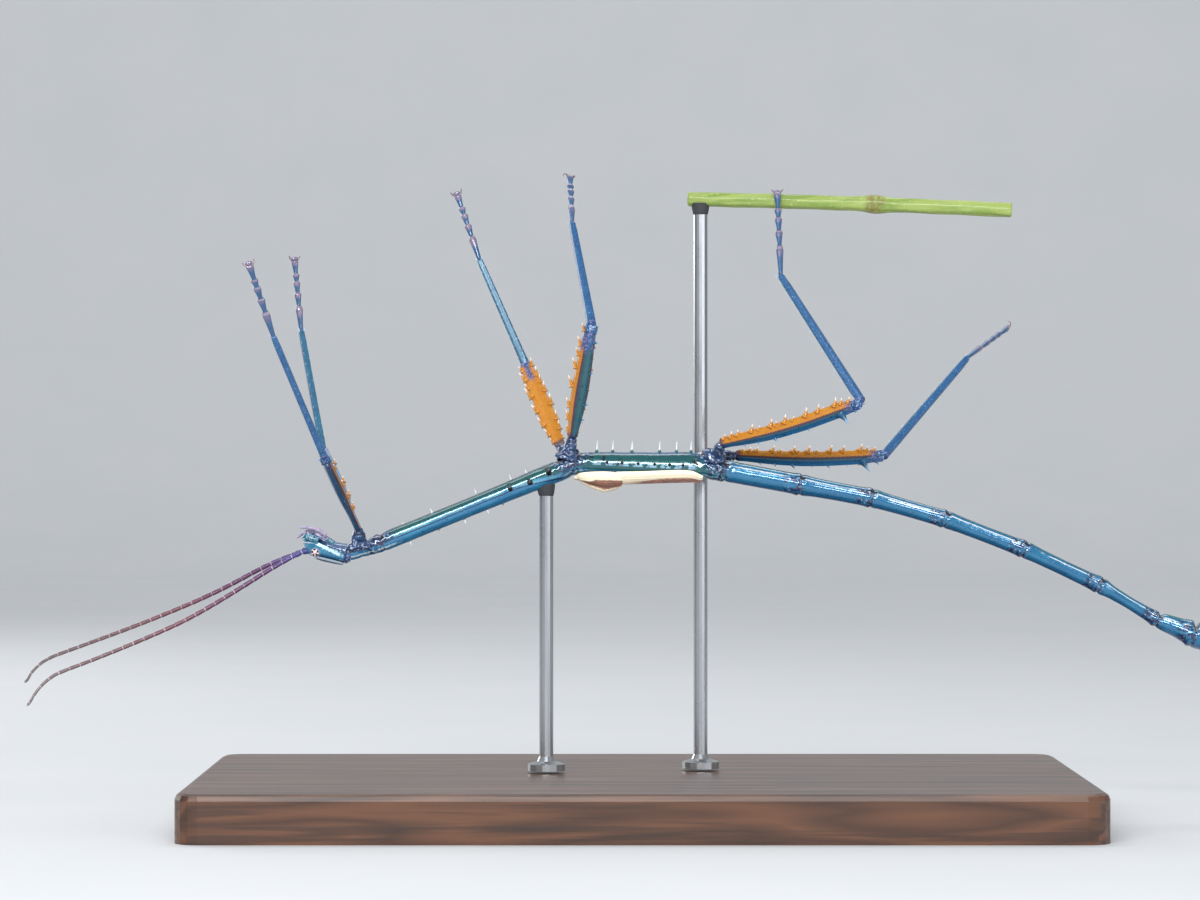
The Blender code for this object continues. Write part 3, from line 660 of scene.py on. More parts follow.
# %% Shape the body
TRUNK_SIDES = 72
COLLAR_AHEAD = 0.9
to_joint = trunk_along[:, None] - reach
ahead = abs(to_joint + COLLAR_AHEAD).min(1)
nearest = abs(to_joint).argmin(1)
to_joint = to_joint[np.arange(len(trunk_along)), nearest]
in_abdomen = np.clip(trunk_along - reach[3], 0, 1)
collar = 0.08 * bell(to_joint + 0.42, 0.34) + 0.05 * bell(to_joint - 0.50, 0.35)
swell = (collar - 0.11 * bell(to_joint, 0.12)) * np.where(nearest < 2, 0.5, 1.0)
tail = np.clip((reach[-1] + 0.2 - trunk_along) / 1.1, 0.0, 1.0)
closing = dome(tail, 0.0) * 0.9 + 0.1 * tail
throat = np.clip((trunk_along + BEFORE_NECK) / 1.3, 0.0, 1.0)
trunk_sizes = trunk_sizes * closing[:, None] * (0.72 + 0.28 * throat)[:, None]
trunk_outline = oval(*(trunk_sizes.T + swell * closing), TRUNK_SIDES, square=0.93)
rise = np.sin(turns(TRUNK_SIDES))
thorax = (1 - in_abdomen) * np.clip(trunk_along / 1.5, 0, 1)
behind_chest = np.clip((trunk_along - reach[1]) / 1.5, 0, 1)
pleat = -0.035 * bell(rise + 0.08, 0.07) * (thorax * behind_chest)[:, None]
pleat = pleat - 0.035 * bell(rise - 0.30, 0.12) * in_abdomen[:, None]
keel = 0.05 * bell(np.cos(turns(TRUNK_SIDES)), 0.10) * (rise > 0) * thorax[:, None]
trunk_outline *= (1 + (pleat + keel) / np.maximum(trunk_sizes[:, :1], 0.4))[..., None]
_, trunk_belly, trunk_side = rails(trunk_path, UP)
trunk_grid = carry(trunk_path, trunk_outline, trunk_belly, trunk_side)

PAIRS = ("fore", "mid", "hind")
LEGS = [pair + "leg_" + label for pair in PAIRS for label, _ in SIDES]
leg_joints = {}
for leg in LEGS:
    found = joints_along([leg + "_femur", leg + "_tibia", leg + "_tarsus"])
    coxa = solid(leg + "_coxa")[0]
    ends = flat_ends(leg + "_coxa", found[0] - coxa.mean(0))
    leg_joints[leg] = np.array([ends[0], (ends[1] + found[0]) / 2, *found[1:]])
    print(leg, "lengths:", np.round(np.linalg.norm(np.diff(leg_joints[leg], axis=0), axis=1), 1))

roots = np.array([joints[0] for joints in leg_joints.values()])
hip = np.linalg.norm(trunk_grid[..., None, :] - roots, axis=-1).min(-1)
first_ring = bell(np.clip(trunk_along - 2.4, -9, 9), 1.6)[:, None] * 0.6
east, across, north = trunk_grid.transpose(2, 0, 1)
lumps = np.sin(east * 4.1 + north * 2.0) * np.sin(north * 5.3 + across * 2.1 + 1.0)
lumps = lumps + 0.5 * np.sin(east * 8.3 + across * 3.0) * np.sin(north * 7.1)
lumps = 0.09 * lumps * np.maximum(bell(hip, 2.6), first_ring) + 0.22 * bell(hip, 1.5)
trunk_grid = push(trunk_grid, trunk_path, lumps)
print("lumps at the hips: up to", round(lumps.max(), 2), "mm")

# %% [markdown]
# ### The body's finish
#
# The measure `along` counts millimetres from the neck, `rise` runs from -1 at the back to 1 at the
# belly, `joint` is the distance to the nearest joint, `ahead` the distance to a place just ahead of
# one, and `hip` the distance to the nearest leg. Thin dark lines, teal belly plates, violet hips
# and navy collars are bands of those measures. So are the painted highlight streaks and dashes on
# the flanks, and the painted glints among the pale dots. Two sizes of noise keep any band from
# being one flat colour, and a fine grain roughens the gloss.


# %% Finish of the body
def body_finish(thorax_end, waist):
    """Chest, rings and hips, each in layers with painted highlights, laid over each other along the
    body.
    """
    begin("body_cuticle", 0.24, Metallic=0.25, Coat_Weight=0.8, Coat_Roughness=0.06)
    along, rise, joint, hip, ahead = measures("along", "rise", "joint", "hip", "ahead")
    patches, fine = cloud(2.2), cloud(0.35, 4.0)
    long_patches = cloud(1.6, 3.0, (0.35, 1.0, 1.0))
    wobble = (fine - 0.5) * 0.12
    drop = edge(along, waist - 9.0, waist + 1.0) * 0.80
    level = rise + drop + (wobble + zigzag(along, 0.45) * 0.05)
    # Painted highlight: broken pale dashes along the metathorax's flank, between the flank spines,
    # where the lamp's reflection falls.
    highlight_dashes = edge(zigzag(along + fine * 0.7, 1.75), 0.24, 0.34) * edge(fine, 0.34, 0.46)
    highlight_dashes = highlight_dashes * band(rise, 0.10, 0.10, 0.05) * band(along, waist + 8.6, 6.2, 0.6)
    chest = paint(
        mix(patches, DEEP_BLUE, SKY_BLUE),
        (edge(level, 0.26, 0.42), mix(patches, TEAL, SEA_GREEN)),
        (band(level, -0.06, 0.02, 0.04), NAVY),
        # Painted highlight: a pale, broken streak along the chest's flank, where the key lamp's
        # reflection falls.
        (band(level, 0.16, 0.05, 0.12) * edge(long_patches, 0.30, 0.60) * 0.55, (150, 206, 206)),
        (highlight_dashes * 0.65, (160, 196, 224)),
        (edge(rise, 0.80, 0.93) * edge(along, waist - 3.0, waist + 1.0) * 0.7, DEEP_BLUE),
        (band(rise, 0.80, 0.02, 0.08) * edge(fine, 0.38, 0.58) * 0.6, NAVY))
    # Painted highlight: a broken white streak along the upper flank of each abdominal ring.
    highlight_streak = band(rise + wobble, 0.54, 0.04, 0.05) * edge(long_patches, 0.36, 0.50)
    ring = paint(
        mix(patches, (12, 80, 126), (36, 122, 160)),
        (edge(rise + wobble, 0.74, 0.92), mix(patches, TEAL, (34, 112, 120))),
        (edge(rise, -0.55, -0.95), DEEP_BLUE),
        (highlight_streak * 0.9, (226, 238, 244)))
    # Sky blue for the back of the hips, with a frost line along it that is a painted highlight.
    saddle_with_highlight = mix(band(rise, -0.60, 0.05, 0.09), mix(patches, SKY_BLUE, (30, 112, 166)), FROST)
    skin = paint(
        mix(edge(fine, 0.42, 0.58), mix(patches, VIOLET, TEAL), DEEP_BLUE),
        (edge(cloud(0.7, 3.0), 0.52, 0.60) * 0.75, NAVY),
        # Lilac freckles whose frost end is painted glints.
        (dots(0.52, 0.14) * 0.9, mix(fine, LILAC, FROST)),
        (edge(rise + wobble, -0.12, -0.34), saddle_with_highlight))
    in_thorax = edge(along, thorax_end + 0.6, thorax_end - 0.4)
    hips = maths("MAXIMUM", edge(hip + fine * 3.6, 5.0, 3.4), edge(along + fine * 4.0, 8.9, 7.0))
    near = edge(ahead - fine * 0.7, 1.3, 0.5)
    green_side = edge(rise, -0.15, 0.0) * edge(along, waist - 12.0, waist - 9.0)
    return cuticle(paint(
        mix(edge(along, thorax_end - 0.4, thorax_end + 0.2), chest, ring),
        (hips * in_thorax, skin),
        (near * edge(cloud(0.5, 3.0), 0.46, 0.56) * 0.9, mix(patches, NAVY, VIOLET)),
        # Lilac freckles near each joint, with painted glints at their frost end.
        (dots(0.46, 0.10) * near * 0.55, mix(fine, LILAC, FROST)),
        (band(joint, 0.10, 0.20, 0.14) * band(rise, 0.64, 0.10, 0.10) * 0.85, INK),
        (band(joint, 0.0, 0.04, 0.07) * 0.8, (58, 42, 48)),
        (dots(1.7, 0.44) * edge(hip, 8.0, 5.5) * (in_thorax * green_side) * 0.9, INK),
        (dots(0.62, 0.07) * 0.55, INK)), fine * 0.22 + 0.10)


body = shell(trunk_grid, along=trunk_along[:, None], rise=rise, joint=abs(to_joint)[:, None],
             ahead=ahead[:, None], hip=hip)
piece("body_skin", [body], body_finish(reach[3], reach[2]), TRUNK_NODES[1:])

# %% [markdown]
# ### Spines of the thorax
#
# The frame's thorax already carries a spine wherever the animal has one, so their tips are found
# rather than typed: a tip is a point of the solid that stands well above the skin. The belly
# spines are white needles on teal feet. The short ones on the flanks are dark with an olive tip.

# %% Find and grow the thorax spines
TIP_HEIGHT = 0.28


def trunk_at(places):
    """The body's middle line, belly direction and girths, read between rings of the skin."""
    rows = np.concatenate([trunk_path, trunk_belly, trunk_sizes], axis=1)
    line, belly, sizes = np.split(read(places, trunk_along, rows), 3, axis=1)
    return line, unit(belly), sizes.T


def spine_tips(node):
    """Tips on a thorax solid, their feet on the skin, and how far they turn from the belly."""
    points, _ = solid(node)
    ring = np.linalg.norm(points[:, None] - trunk_path[None], axis=2).argmin(1)
    out = points - trunk_path[ring]
    across, rise = (out * trunk_side[ring]).sum(1), (out * trunk_belly[ring]).sum(1)
    width, belly, back = trunk_sizes[ring].T
    share = np.hypot(across / width, rise / np.where(rise > 0, belly, back))
    length = np.hypot(across, rise)
    found = length * (1 - 1 / share) > TIP_HEIGHT
    feet = trunk_path[ring] + out / share[:, None]
    return points[found], feet[found], (rise / length)[found]


def spine_finish():
    """Needles and thorns, told apart by the measure flank, with colours that change to the tip."""
    begin("spine_cuticle", 0.28, Coat_Weight=0.3, Coat_Roughness=0.15)
    tip, flank = measures("tip", "flank")
    foot = mix(cloud(0.6), TEAL, SEA_GREEN)
    needle = mix(edge(tip, 0.22, 0.42), foot, mix(cloud(0.25), FROST, BONE))
    thorn = mix(edge(tip, 0.70, 0.97), INK, mix(cloud(0.3), INK, OLIVE))
    return cuticle(mix(flank, needle, thorn))


thorns = []
for node, stouter in (("mesothorax", 0.16), ("metathorax", 0.03)):
    for tip, foot, turned in zip(*spine_tips(node)):
        on_flank = float(abs(turned) < 0.6)
        thorns.append(spine(foot, tip, 0.20 + stouter * on_flank, flare=1.2, flank=on_flank))
piece("thorax_spines", thorns, spine_finish())
print(len(thorns), "thorax spines")

# %% [markdown]
# ## The head
#
# A stick insect's head is a smooth capsule, deepest behind the eyes, that narrows to the mouth. It
# is a carried outline again, along the line from the neck to the brow. Distances to the eyes raise
# a rim round each, and a line on the cheek sinks into a groove. The capsule is the most looked-at
# piece, so its grid is the finest.

# %% The head's own directions
HEAD_SIDES = 120
nose = unit(head_front - trunk_joints[0])
chin = unit(UP - nose * nose[2])


def on_head(forward, sideways, rise):
    """Places on the head: millimetres ahead of the neck, to the left, and towards the mouth."""
    forward, sideways, rise = np.broadcast_arrays(forward, sideways, rise)
    spread = forward[..., None] * nose + sideways[..., None] * LEFT + rise[..., None] * chin
    return trunk_joints[0] + spread


def rounded(count, sharp):
    """Places from 0 to 1 that crowd at both ends, and a girth that closes there."""
    turn = np.linspace(0.02, np.pi - 0.02, count)
    return (1 - np.cos(turn)) / 2, np.sin(turn) ** (2 / sharp)


eyes = {label: sum(map(np.array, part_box("eye_" + label))) / 2 / MM for label, _ in SIDES}
eye_radius = (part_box("eye_right")[1].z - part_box("eye_right")[0].z) / 2 / MM
print("eye radius:", round(eye_radius, 2), "mm, head length:",
      round(np.linalg.norm(head_front - trunk_joints[0]), 2), "mm")

# %% Shape the head capsule
# millimetres ahead of the neck, half width, depth to the mouth, depth to the crown
CAPSULE = (
    (-0.60, 0.80, 0.80, 1.10), (0.00, 1.12, 1.05, 1.52), (0.35, 1.36, 1.10, 1.74),
    (1.00, 1.47, 1.04, 1.82), (1.80, 1.52, 0.95, 1.85), (2.80, 1.56, 0.82, 1.89),
    (3.60, 1.57, 0.74, 1.83), (4.20, 1.48, 0.66, 1.65), (4.70, 1.30, 0.55, 1.38),
    (5.15, 1.05, 0.42, 0.98), (5.50, 0.74, 0.30, 0.62), (5.74, 0.40, 0.18, 0.32),
    (5.84, 0.06, 0.03, 0.05),
)
capsule_along = np.concatenate([np.linspace(-0.6, 4.6, 96), np.linspace(4.62, 5.84, 44)])
capsule_path = on_head(capsule_along, 0.0, 0.0)
capsule_outline = oval(*table(CAPSULE, capsule_along), HEAD_SIDES, square=0.90)
capsule_grid = carry(capsule_path, capsule_outline, chin, LEFT)
local = capsule_grid - trunk_joints[0]
forward, rise = local @ nose, local @ chin
to_eye = np.minimum(*[np.linalg.norm(capsule_grid - place, axis=-1) for place in eyes.values()])
socket = np.minimum(*[np.linalg.norm(capsule_grid - on_head(4.85, side * 0.55, -1.12), axis=-1)
                      for _, side in SIDES])
cheek = rise - (0.02 + (forward - 1.24) * 0.20)
on_cheek = np.clip((forward - 0.9) / 0.6, 0, 1)
height = 0.05 * bell(to_eye - eye_radius - 0.10, 0.11) - 0.10 * bell(to_eye, eye_radius * 0.8)
height -= 0.07 * bell(cheek, 0.09) * on_cheek * (forward < 4.9)
height += 0.05 * bell(cheek + 0.22, 0.13) * on_cheek
height -= 0.05 * bell(local[..., 1], 0.07) * (rise < 0) * (forward < 4.2)
height += 0.06 * bell(forward - 0.28, 0.16) - 0.07 * bell(forward - 0.02, 0.12)
height += 0.07 * bell(socket - 0.48, 0.10)
capsule_grid = push(capsule_grid, capsule_path, height)


# %% Finish of the head
def head_finish():
    """Crown, face and cheek by height, then a painted rim highlight, a painted cheek highlight and a
    painted shade line.
    """
    begin("head_cuticle", 0.22, Metallic=0.2, Coat_Weight=0.8, Coat_Roughness=0.05)
    forward, rise, cheek, eye = measures("forward", "rise", "cheek", "eye")
    patches, fine = cloud(1.3), cloud(0.28, 4.0)
    wobble = (fine - 0.5) * 0.25
    # Painted highlight: a broken pale streak along the upper cheek.
    cheek_highlight = band(cheek + wobble * 2.2, -0.38, 0.16, 0.12) * edge(patches, 0.30, 0.46)
    cheek_highlight = cheek_highlight * band(forward, 2.4, 1.3, 0.5)
    # Painted highlight along the crown's rim, and a painted shade line just above it.
    rim_highlight = band(rise, -1.46, 0.11, 0.06) * band(forward, 2.1, 1.9, 0.5)
    shade = band(rise, -1.20, 0.05, 0.08) * band(forward, 1.9, 1.7, 0.5)
    crown = mix(patches, (12, 72, 116), (28, 104, 148))
    return cuticle(paint(
        crown,
        (edge(rise + wobble, -1.15, -0.65), mix(patches, (24, 96, 132), (46, 128, 160))),
        (edge(cheek, 0.02, 0.16), mix(fine, VIOLET, (96, 128, 160))),
        (band(cheek, 0.02, 0.03, 0.07), NAVY),
        (edge(forward + fine * 0.5, 0.75, 0.35),
         mix(edge(fine, 0.40, 0.6), (28, 58, 108), (104, 130, 180))),
        # Frost dots near the neck, painted glints.
        (dots(0.42, 0.10) * edge(forward, 1.3, 0.6) * 0.8, FROST),
        (band(eye, eye_radius + 0.10, 0.02, 0.06) * 0.15, FROST),
        (cheek_highlight * 0.85, (210, 238, 244)),
        (rim_highlight * 0.9, (206, 228, 244)),
        (edge(rise, -1.62, -1.74), (12, 62, 112)),
        (shade * 0.85, NAVY),
        (edge(forward + wobble, 4.7, 5.4) * 0.35, (96, 160, 176))))


capsule = shell(capsule_grid, forward=forward, rise=rise, cheek=cheek, eye=to_eye)
piece("head_capsule", [capsule], head_finish(), ["head"])

# %% [markdown]
# ### The eyes
#
# A compound eye is a dome of hundreds of lenses. The dome is a grid with its pole facing out, and
# the lenses are bumps in the finish, since real ones are a twentieth of a millimetre. Here the eye
# is pearly, with dark wedges that run out from its middle as on a sunflower, longest below.


# %% Make the eyes
def eye_finish():
    """Wedges from the angle round the eye's middle, kept between two distances from it."""
    begin("eye_pearl", 0.10, Coat_Weight=0.6, Coat_Roughness=0.05)
    east, north = measures("east", "north")
    ring = maths("SQRT", east * east + north * north)
    angle = maths("ARCTAN2", north, east) + 10 * np.pi
    wedge = edge(zigzag(angle, 2 * np.pi / 5), 0.30, 0.44)
    dark = wedge * edge(ring + north * 0.50, 0.16, 0.30) * edge(ring, 0.86, 0.74)
    colour = paint(
        mix(cloud(0.5), (244, 214, 218), (222, 190, 208)),
        (edge(ring, 0.74, 0.92), (64, 118, 150)),
        (dark, (28, 18, 34)))
    return wear(colour, relief(edge(cells(0.055), 0.0, 0.45), 0.006))


def eye_shell(centre, side):
    """A dome: rings of latitude round an axis that points sideways and a little ahead."""
    axis = unit(LEFT * side + nose * 0.12 - chin * 0.10)
    north = unit(-chin + axis * (chin @ axis))
    east = np.cross(axis, north)
    latitude = np.linspace(0.04, np.pi - 0.3, 36)[:, None]
    across, rise = np.cos(turns(56)[None]), np.sin(turns(56)[None])
    flat = np.sin(latitude)
    depth = axis * (0.15 + eye_radius * 0.92 * np.cos(latitude))[..., None]
    ring = east * across[..., None] + north * rise[..., None]
    grid = centre + depth + eye_radius * flat[..., None] * ring
    return shell(grid, east=flat * across, north=flat * rise)


pearl = eye_finish()
for label, side in SIDES:
    dome_shell = eye_shell(eyes[label], side)
    piece("eye_dome_" + label, [dome_shell], pearl, ["eye_" + label])

# %% [markdown]
# ### Mouthparts
#
# Under the face lie the upper lip, the two jaws, the outer jaws and the lower lip, each a plump
# plate. One helper makes them all: an oval carried along a short bent line, with both ends closed
# like a bean. A pale band marks where the face ends.

# %% Make the mouthparts
# three places on the head, half width, belly and back, tone, and the sides and rows of small ones
MIDDLE_BEANS = (
    (((6.05, 0.0, 0.78), (5.75, 0.0, 0.30), (5.10, 0.0, 0.00)), (0.92, 0.32, 0.30), 0),
    (((5.0, 0.0, 1.50), (3.6, 0.0, 1.30), (1.5, 0.0, 0.72)), (0.52, 0.26, 0.35), 1),
    (((5.60, 0.0, 1.25), (5.10, 0.0, 1.10), (4.3, 0.0, 0.9)), (0.75, 0.25, 0.4), 2),
)
SIDE_BEANS = (
    (((5.92, 0.30, 0.80), (5.20, 0.85, 0.72), (3.90, 1.12, 0.62)), (0.46, 0.46, 0.40), 0),
    (((5.15, 0.55, 1.42), (4.20, 0.88, 1.22), (2.95, 1.00, 0.78)), (0.34, 0.30, 0.34), 1),
    (((3.20, 0.62, 1.05), (2.40, 0.72, 0.88), (1.45, 0.80, 0.62)), (0.52, 0.26, 0.36), 0),
    (((5.62, 0.34, 1.52), (5.10, 0.48, 1.50), (4.45, 0.62, 1.36)), (0.20, 0.17, 0.17), 2, 20, 24),
    (((4.55, 0.95, 1.36), (4.10, 1.02, 1.28), (3.55, 1.05, 1.10)), (0.22, 0.20, 0.20), 2, 20, 24),
    (((3.75, 1.10, 0.92), (3.25, 1.16, 0.86), (2.70, 1.12, 0.72)), (0.24, 0.20, 0.20), 1, 20, 24),
)
BAND_FROM, BAND_TO, BAND_ROWS = 4.25, 5.83, 60


def bean(places, sizes, tone, sides=36, rows=34):
    """A closed bean round a path of head places. Its width is sideways to the path."""
    path, _ = spread_along(on_head(*np.transpose(places)), rows)
    share, girth = rounded(rows, 2.4)
    path = read(share, np.linspace(0.0, 1.0, rows), soften_path(path, 4))
    _, up, aside = rails(path, chin)
    grid = carry(path, oval(*np.outer(sizes, girth), sides), up, aside)
    return shell(grid, tone=tone, share=share[:, None])


def mouth_finish():
    """Plates, darker plates, soft skin and the pale band, told apart by the measure tone."""
    begin("mouth_cuticle", 0.25, Coat_Weight=0.7, Coat_Roughness=0.08)
    tone, share = measures("tone", "share")
    patches, fine = cloud(0.7), cloud(0.2, 4.0)
    plate = mix(edge(fine, 0.50, 0.60) * 0.75, mix(patches, (38, 104, 130), (86, 152, 170)), VIOLET)
    darker = mix(edge(fine, 0.46, 0.58) * 0.7, mix(patches, (40, 82, 112), (78, 84, 132)), LILAC)
    seams = [band(share, place, 0.02, 0.03) * edge(tone, 2.0, 1.0) for place in (0.72, 0.24)]
    return cuticle(paint(
        plate,
        (edge(tone, 0.4, 0.6), darker),
        (edge(tone, 1.4, 1.6), mix(fine, LILAC, (196, 178, 186))),
        (edge(tone, 2.4, 2.6), mix(fine, (150, 170, 190), (204, 196, 206))),
        (dots(0.34, 0.07) * edge(tone, 2.4, 2.0) * 0.8, FROST),
        (maths("MAXIMUM", *seams) * 0.9, NAVY)))


mouth = [bean(*row) for row in MIDDLE_BEANS]
mouth += [bean(np.multiply(places, (1, side, 1)), *rest)
          for _, side in SIDES for places, *rest in SIDE_BEANS]
band_reach = np.linspace(BAND_FROM, BAND_TO, 24)
band_width = table(CAPSULE, band_reach)[0]
band_rise = 0.18 - 0.16 * (band_reach - BAND_FROM)
band_path = np.concatenate([on_head(band_reach, -band_width, band_rise),
                            on_head(band_reach, band_width, band_rise)[::-1]])
band_path = soften_path(spread_along(band_path, BAND_ROWS)[0], 3)
_, band_up, band_side = rails(band_path, nose)
band_girth = 0.085 * np.sin(np.linspace(0.06, np.pi - 0.06, BAND_ROWS)) ** 0.8
band_outline = oval(band_girth * 1.4, band_girth, band_girth, 12)
mouth.append(shell(carry(band_path, band_outline, band_up, band_side), tone=3.0, share=0.0))
piece("mouth_plates", mouth, mouth_finish(), ["mouthparts"])

# %% [markdown]
# ### Palps and feelers
#
# Palps and feelers are jointed tubes. A row of little swellings, each narrow at its start and wide
# at its end, turns a plain tube into segments. The feelers start in a thick first segment set in
# the brow, then thin out over thirty rings to a soft bent tip. Each ring ends in a pale tick.

# %% A jointed tube
# ahead of the neck, to the side, towards the mouth
INNER_PALP = ((4.2, 0.45, 1.45), (5.0, 0.55, 1.68), (5.6, 0.5, 1.55), (5.9, 0.42, 1.25))


def jointed(path, along, radius, pitch, depth, sides=18):
    """A tube with segments of a pitch. In each, the radius grows by depth and drops at its end."""
    phase = np.mod(along / pitch, 1.0)
    radius = radius * (1 - depth + depth * np.sin(np.clip(phase, 0, 0.94) / 0.94 * np.pi / 2))
    radius = radius * (1 - depth * bell(phase - 1.0, 0.05))
    radius = radius * dome((along[-1] - along) / (radius.mean() * 1.2), 0.01)
    return shell(tube(path, radius, sides), along=along[:, None], phase=phase[:, None])


def palp_finish():
    """Pale lilac, darker at each joint."""
    begin("palp_cuticle", 0.38, Subsurface_Weight=0.15, Subsurface_Radius=(0.0003, 0.0002, 0.0002))
    phase, = measures("phase")
    colour = mix(cloud(0.2, 3.0), (124, 116, 150), (190, 178, 198))
    return cuticle(mix(band(phase, 0.0, 0.04, 0.05), colour, (110, 96, 130)))


palp_look = palp_finish()
for label, side in SIDES:
    line = centre_line("palp_" + label, on_head(3.3, side, 1.4), 15)
    path, along = spread_along(np.vstack([on_head(3.4, side, 1.0), line]), 90)
    radius = np.interp(along / along[-1], (0, 0.3, 0.8, 1), (0.22, 0.26, 0.22, 0.14))
    outer = jointed(soften_path(path, 8), along, radius, along[-1] / 4, 0.22)
    line = on_head(*np.multiply(INNER_PALP, (1, side, 1)).T)
    path, along = spread_along(line, 60)
    inner = jointed(soften_path(path, 6), along, 0.13, along[-1] / 3, 0.25)
    piece("palps_" + label, [outer, inner], palp_look, ["palp_" + label])

# %% Make the feelers
RING_PITCH = 1.42
FEELER_LENGTH = 42.0
# millimetres from the brow, radius; the last two places count back from the tip
FEELER = ((0, 0.34), (0.5, 0.40), (1.1, 0.41), (1.35, 0.27), (1.5, 0.35), (2.1, 0.36), (2.3, 0.27),
          (3.0, 0.31), (20, 0.28), (-6, 0.24), (0, 0.17))


def feeler_finish():
    """Blue at the root, wine further out, grey at the tip, with a pale tick at each ring's end."""
    begin("feeler_cuticle", 0.36, Coat_Weight=0.15)
    along, phase = measures("along", "phase")
    stops = ((0.0, (36, 76, 136)), (0.05, (66, 62, 132)), (0.16, (84, 44, 92)),
             (0.45, (112, 66, 76)), (0.80, (102, 82, 84)), (1.0, (128, 118, 118)))
    return cuticle(paint(
        tones(along / FEELER_LENGTH, stops),
        (edge(cloud(0.3, 4.0), 0.4, 0.7) * 0.5, (56, 34, 60)),
        (band(phase, 0.97, 0.03, 0.03) * 0.8, (216, 200, 206))))


feeler_look = feeler_finish()
for label, side in SIDES:
    line = centre_line("antenna_" + label, head_front, 60)
    line = np.vstack([on_head(4.55, 0.42 * side, -0.80), on_head(5.0, 0.52 * side, -1.06), line])
    path, along = spread_along(line, 620)
    places, radii = np.transpose(FEELER)
    places[-2:] += along[-1]
    rings = jointed(soften_path(path, 6), along, np.interp(along, places, radii), RING_PITCH, 0.13)
    piece("feeler_" + label, [rings], feeler_look, ["antenna_" + label])
    print("feeler", label, round(along[-1], 1), "mm")

# %% [markdown]
# ## Wings
#
# The male's wings are stubs folded over his back. Each is a stiff leaf that wraps a quarter of the
# body: its grid runs along the body and from the back's middle to the wing's free edge, with an
# outer and an inner face that meet at a thin rim. The forewing is humped, with a brown hollow below
# its cream shoulder. The hind wing lies flat, with fine lengthwise veins.

# %% Shape the wings
WING_ACROSS = 26
WING_ROWS = 90
INNER_LOWER = 0.12
# share of the metathorax, angle of the free edge, height of the hump over the back
FOREWING = ((-0.05, -76, 0.0), (0.0, -58, 0.15), (0.05, -45, 0.60), (0.12, -38, 1.20),
            (0.20, -34, 1.62), (0.26, -36, 1.30), (0.32, -52, 0.70))
HIND_WING = ((0.27, -38, 0.70), (0.36, -31, 0.60), (0.46, -25, 0.45), (0.56, -17, 0.35),
             (0.68, -8, 0.26), (0.77, -6, 0.20), (0.815, -22, 0.12), (0.85, -50, 0.05))


def wing_shell(rows, side, clearance, thickness, hollow):
    """A leaf over the back: angle runs from the back's middle to the edge, place along the body."""
    places = np.linspace(rows[0][0], rows[-1][0], WING_ROWS)
    free_edge, lift = soften(table(rows, places).T, 8).T[..., None]
    line, belly_way, (width, _, back) = trunk_at(reach[2] + places * (reach[3] - reach[2]))
    width, back, places = width[:, None], back[:, None], places[:, None]
    rim = dome(np.minimum(places - places[0], places[-1] - places) / 0.02, 0.03)
    across = np.linspace(0.0, 1.0, WING_ACROSS)
    angle = np.radians(-88 + (free_edge + 88) * across)
    veins = 0.020 * np.sin(across * 34.0) + 0.015 * np.sin(across * 61.0 + 4 * places)
    fade = np.sin(np.pi * np.linspace(0.05, 0.95, WING_ROWS))[:, None]
    dent = hollow * bell(across - 0.33, 0.13) * fade
    thin = thickness * rim * (1 - across ** 6) + 0.02
    faces = []
    for outer in (1, 0):
        gap = clearance + outer * (thin + veins - dent)
        rise_by = lift * np.cos(across * np.pi / 2) - INNER_LOWER * (1 - outer)
        spread = np.maximum(np.cos(angle) * (width + gap), 0.02)
        depth = np.sin(angle) * (back + gap + rise_by)
        faces.append(line[:, None] + LEFT * (side * spread)[..., None]
                     + belly_way[:, None] * depth[..., None])
    grid = np.concatenate([faces[0], faces[1][:, ::-1]], axis=1)
    both = np.concatenate([across, across[::-1]])
    return shell(grid, across=both, place=np.linspace(0, 1, WING_ROWS)[:, None])


def wing_finish(name, brown_low, brown_high, brown):
    """Cream with pale veins, and a brown stain between two lines across the leaf."""
    begin(name, 0.45, Subsurface_Weight=0.1, Subsurface_Radius=(0.0006, 0.0004, 0.0002),
          Sheen_Weight=0.15)
    across, place = measures("across", "place")
    cloudy, fine = cloud(1.2), cloud(0.25, 4.0)
    line = zigzag(across + cloudy * 0.03, 0.11)
    ragged = across + fine * 0.12
    high = edge(place, 0.05, 0.6) * (brown_high - 0.36) + 0.36
    stain = edge(ragged - high, 0.06, 0.0) * edge(ragged, brown_low, brown_low + 0.06)
    stain = stain * edge(place, 0.12, 0.35)
    colour = paint(
        mix(cloudy, CREAM, (246, 230, 194)),
        (edge(line, 0.90, 1.0) * 0.35, (196, 160, 110)),
        (stain * 0.9, mix(edge(cloud(0.6, 4.0), 0.42, 0.58), brown, mix(fine, WINE, brown))))
    return wear(colour, relief(line, 0.02, relief(fine, 0.02)))


cases = wing_finish("wing_case_cream", 0.28, 0.74, (130, 66, 42))
folded = wing_finish("folded_wing_cream", -0.20, 0.56, (186, 122, 104))
for label, side in SIDES:
    case = wing_shell(FOREWING, side, 0.36, 0.34, 0.22)
    piece("wing_case_" + label, [case], cases, ["forewing_" + label])
    leaf = wing_shell(HIND_WING, side, 0.22, 0.34, 0.04)
    piece("folded_wing_" + label, [leaf], folded, ["hindwing_" + label])

# %% [markdown]
# ## Legs
#
# A leg is a coxa, a thigh, a shin and a five-part foot with two claws. Each part is a straight
# carried outline. Its girth is sliced off its solid, and its ends are round knuckles tucked into
# their neighbours, so the leg has no gaps. The thigh is the showy part: its belly face is a flat
# orange gutter between two rows of teeth, and its back is a blue ridge with a few thorns.

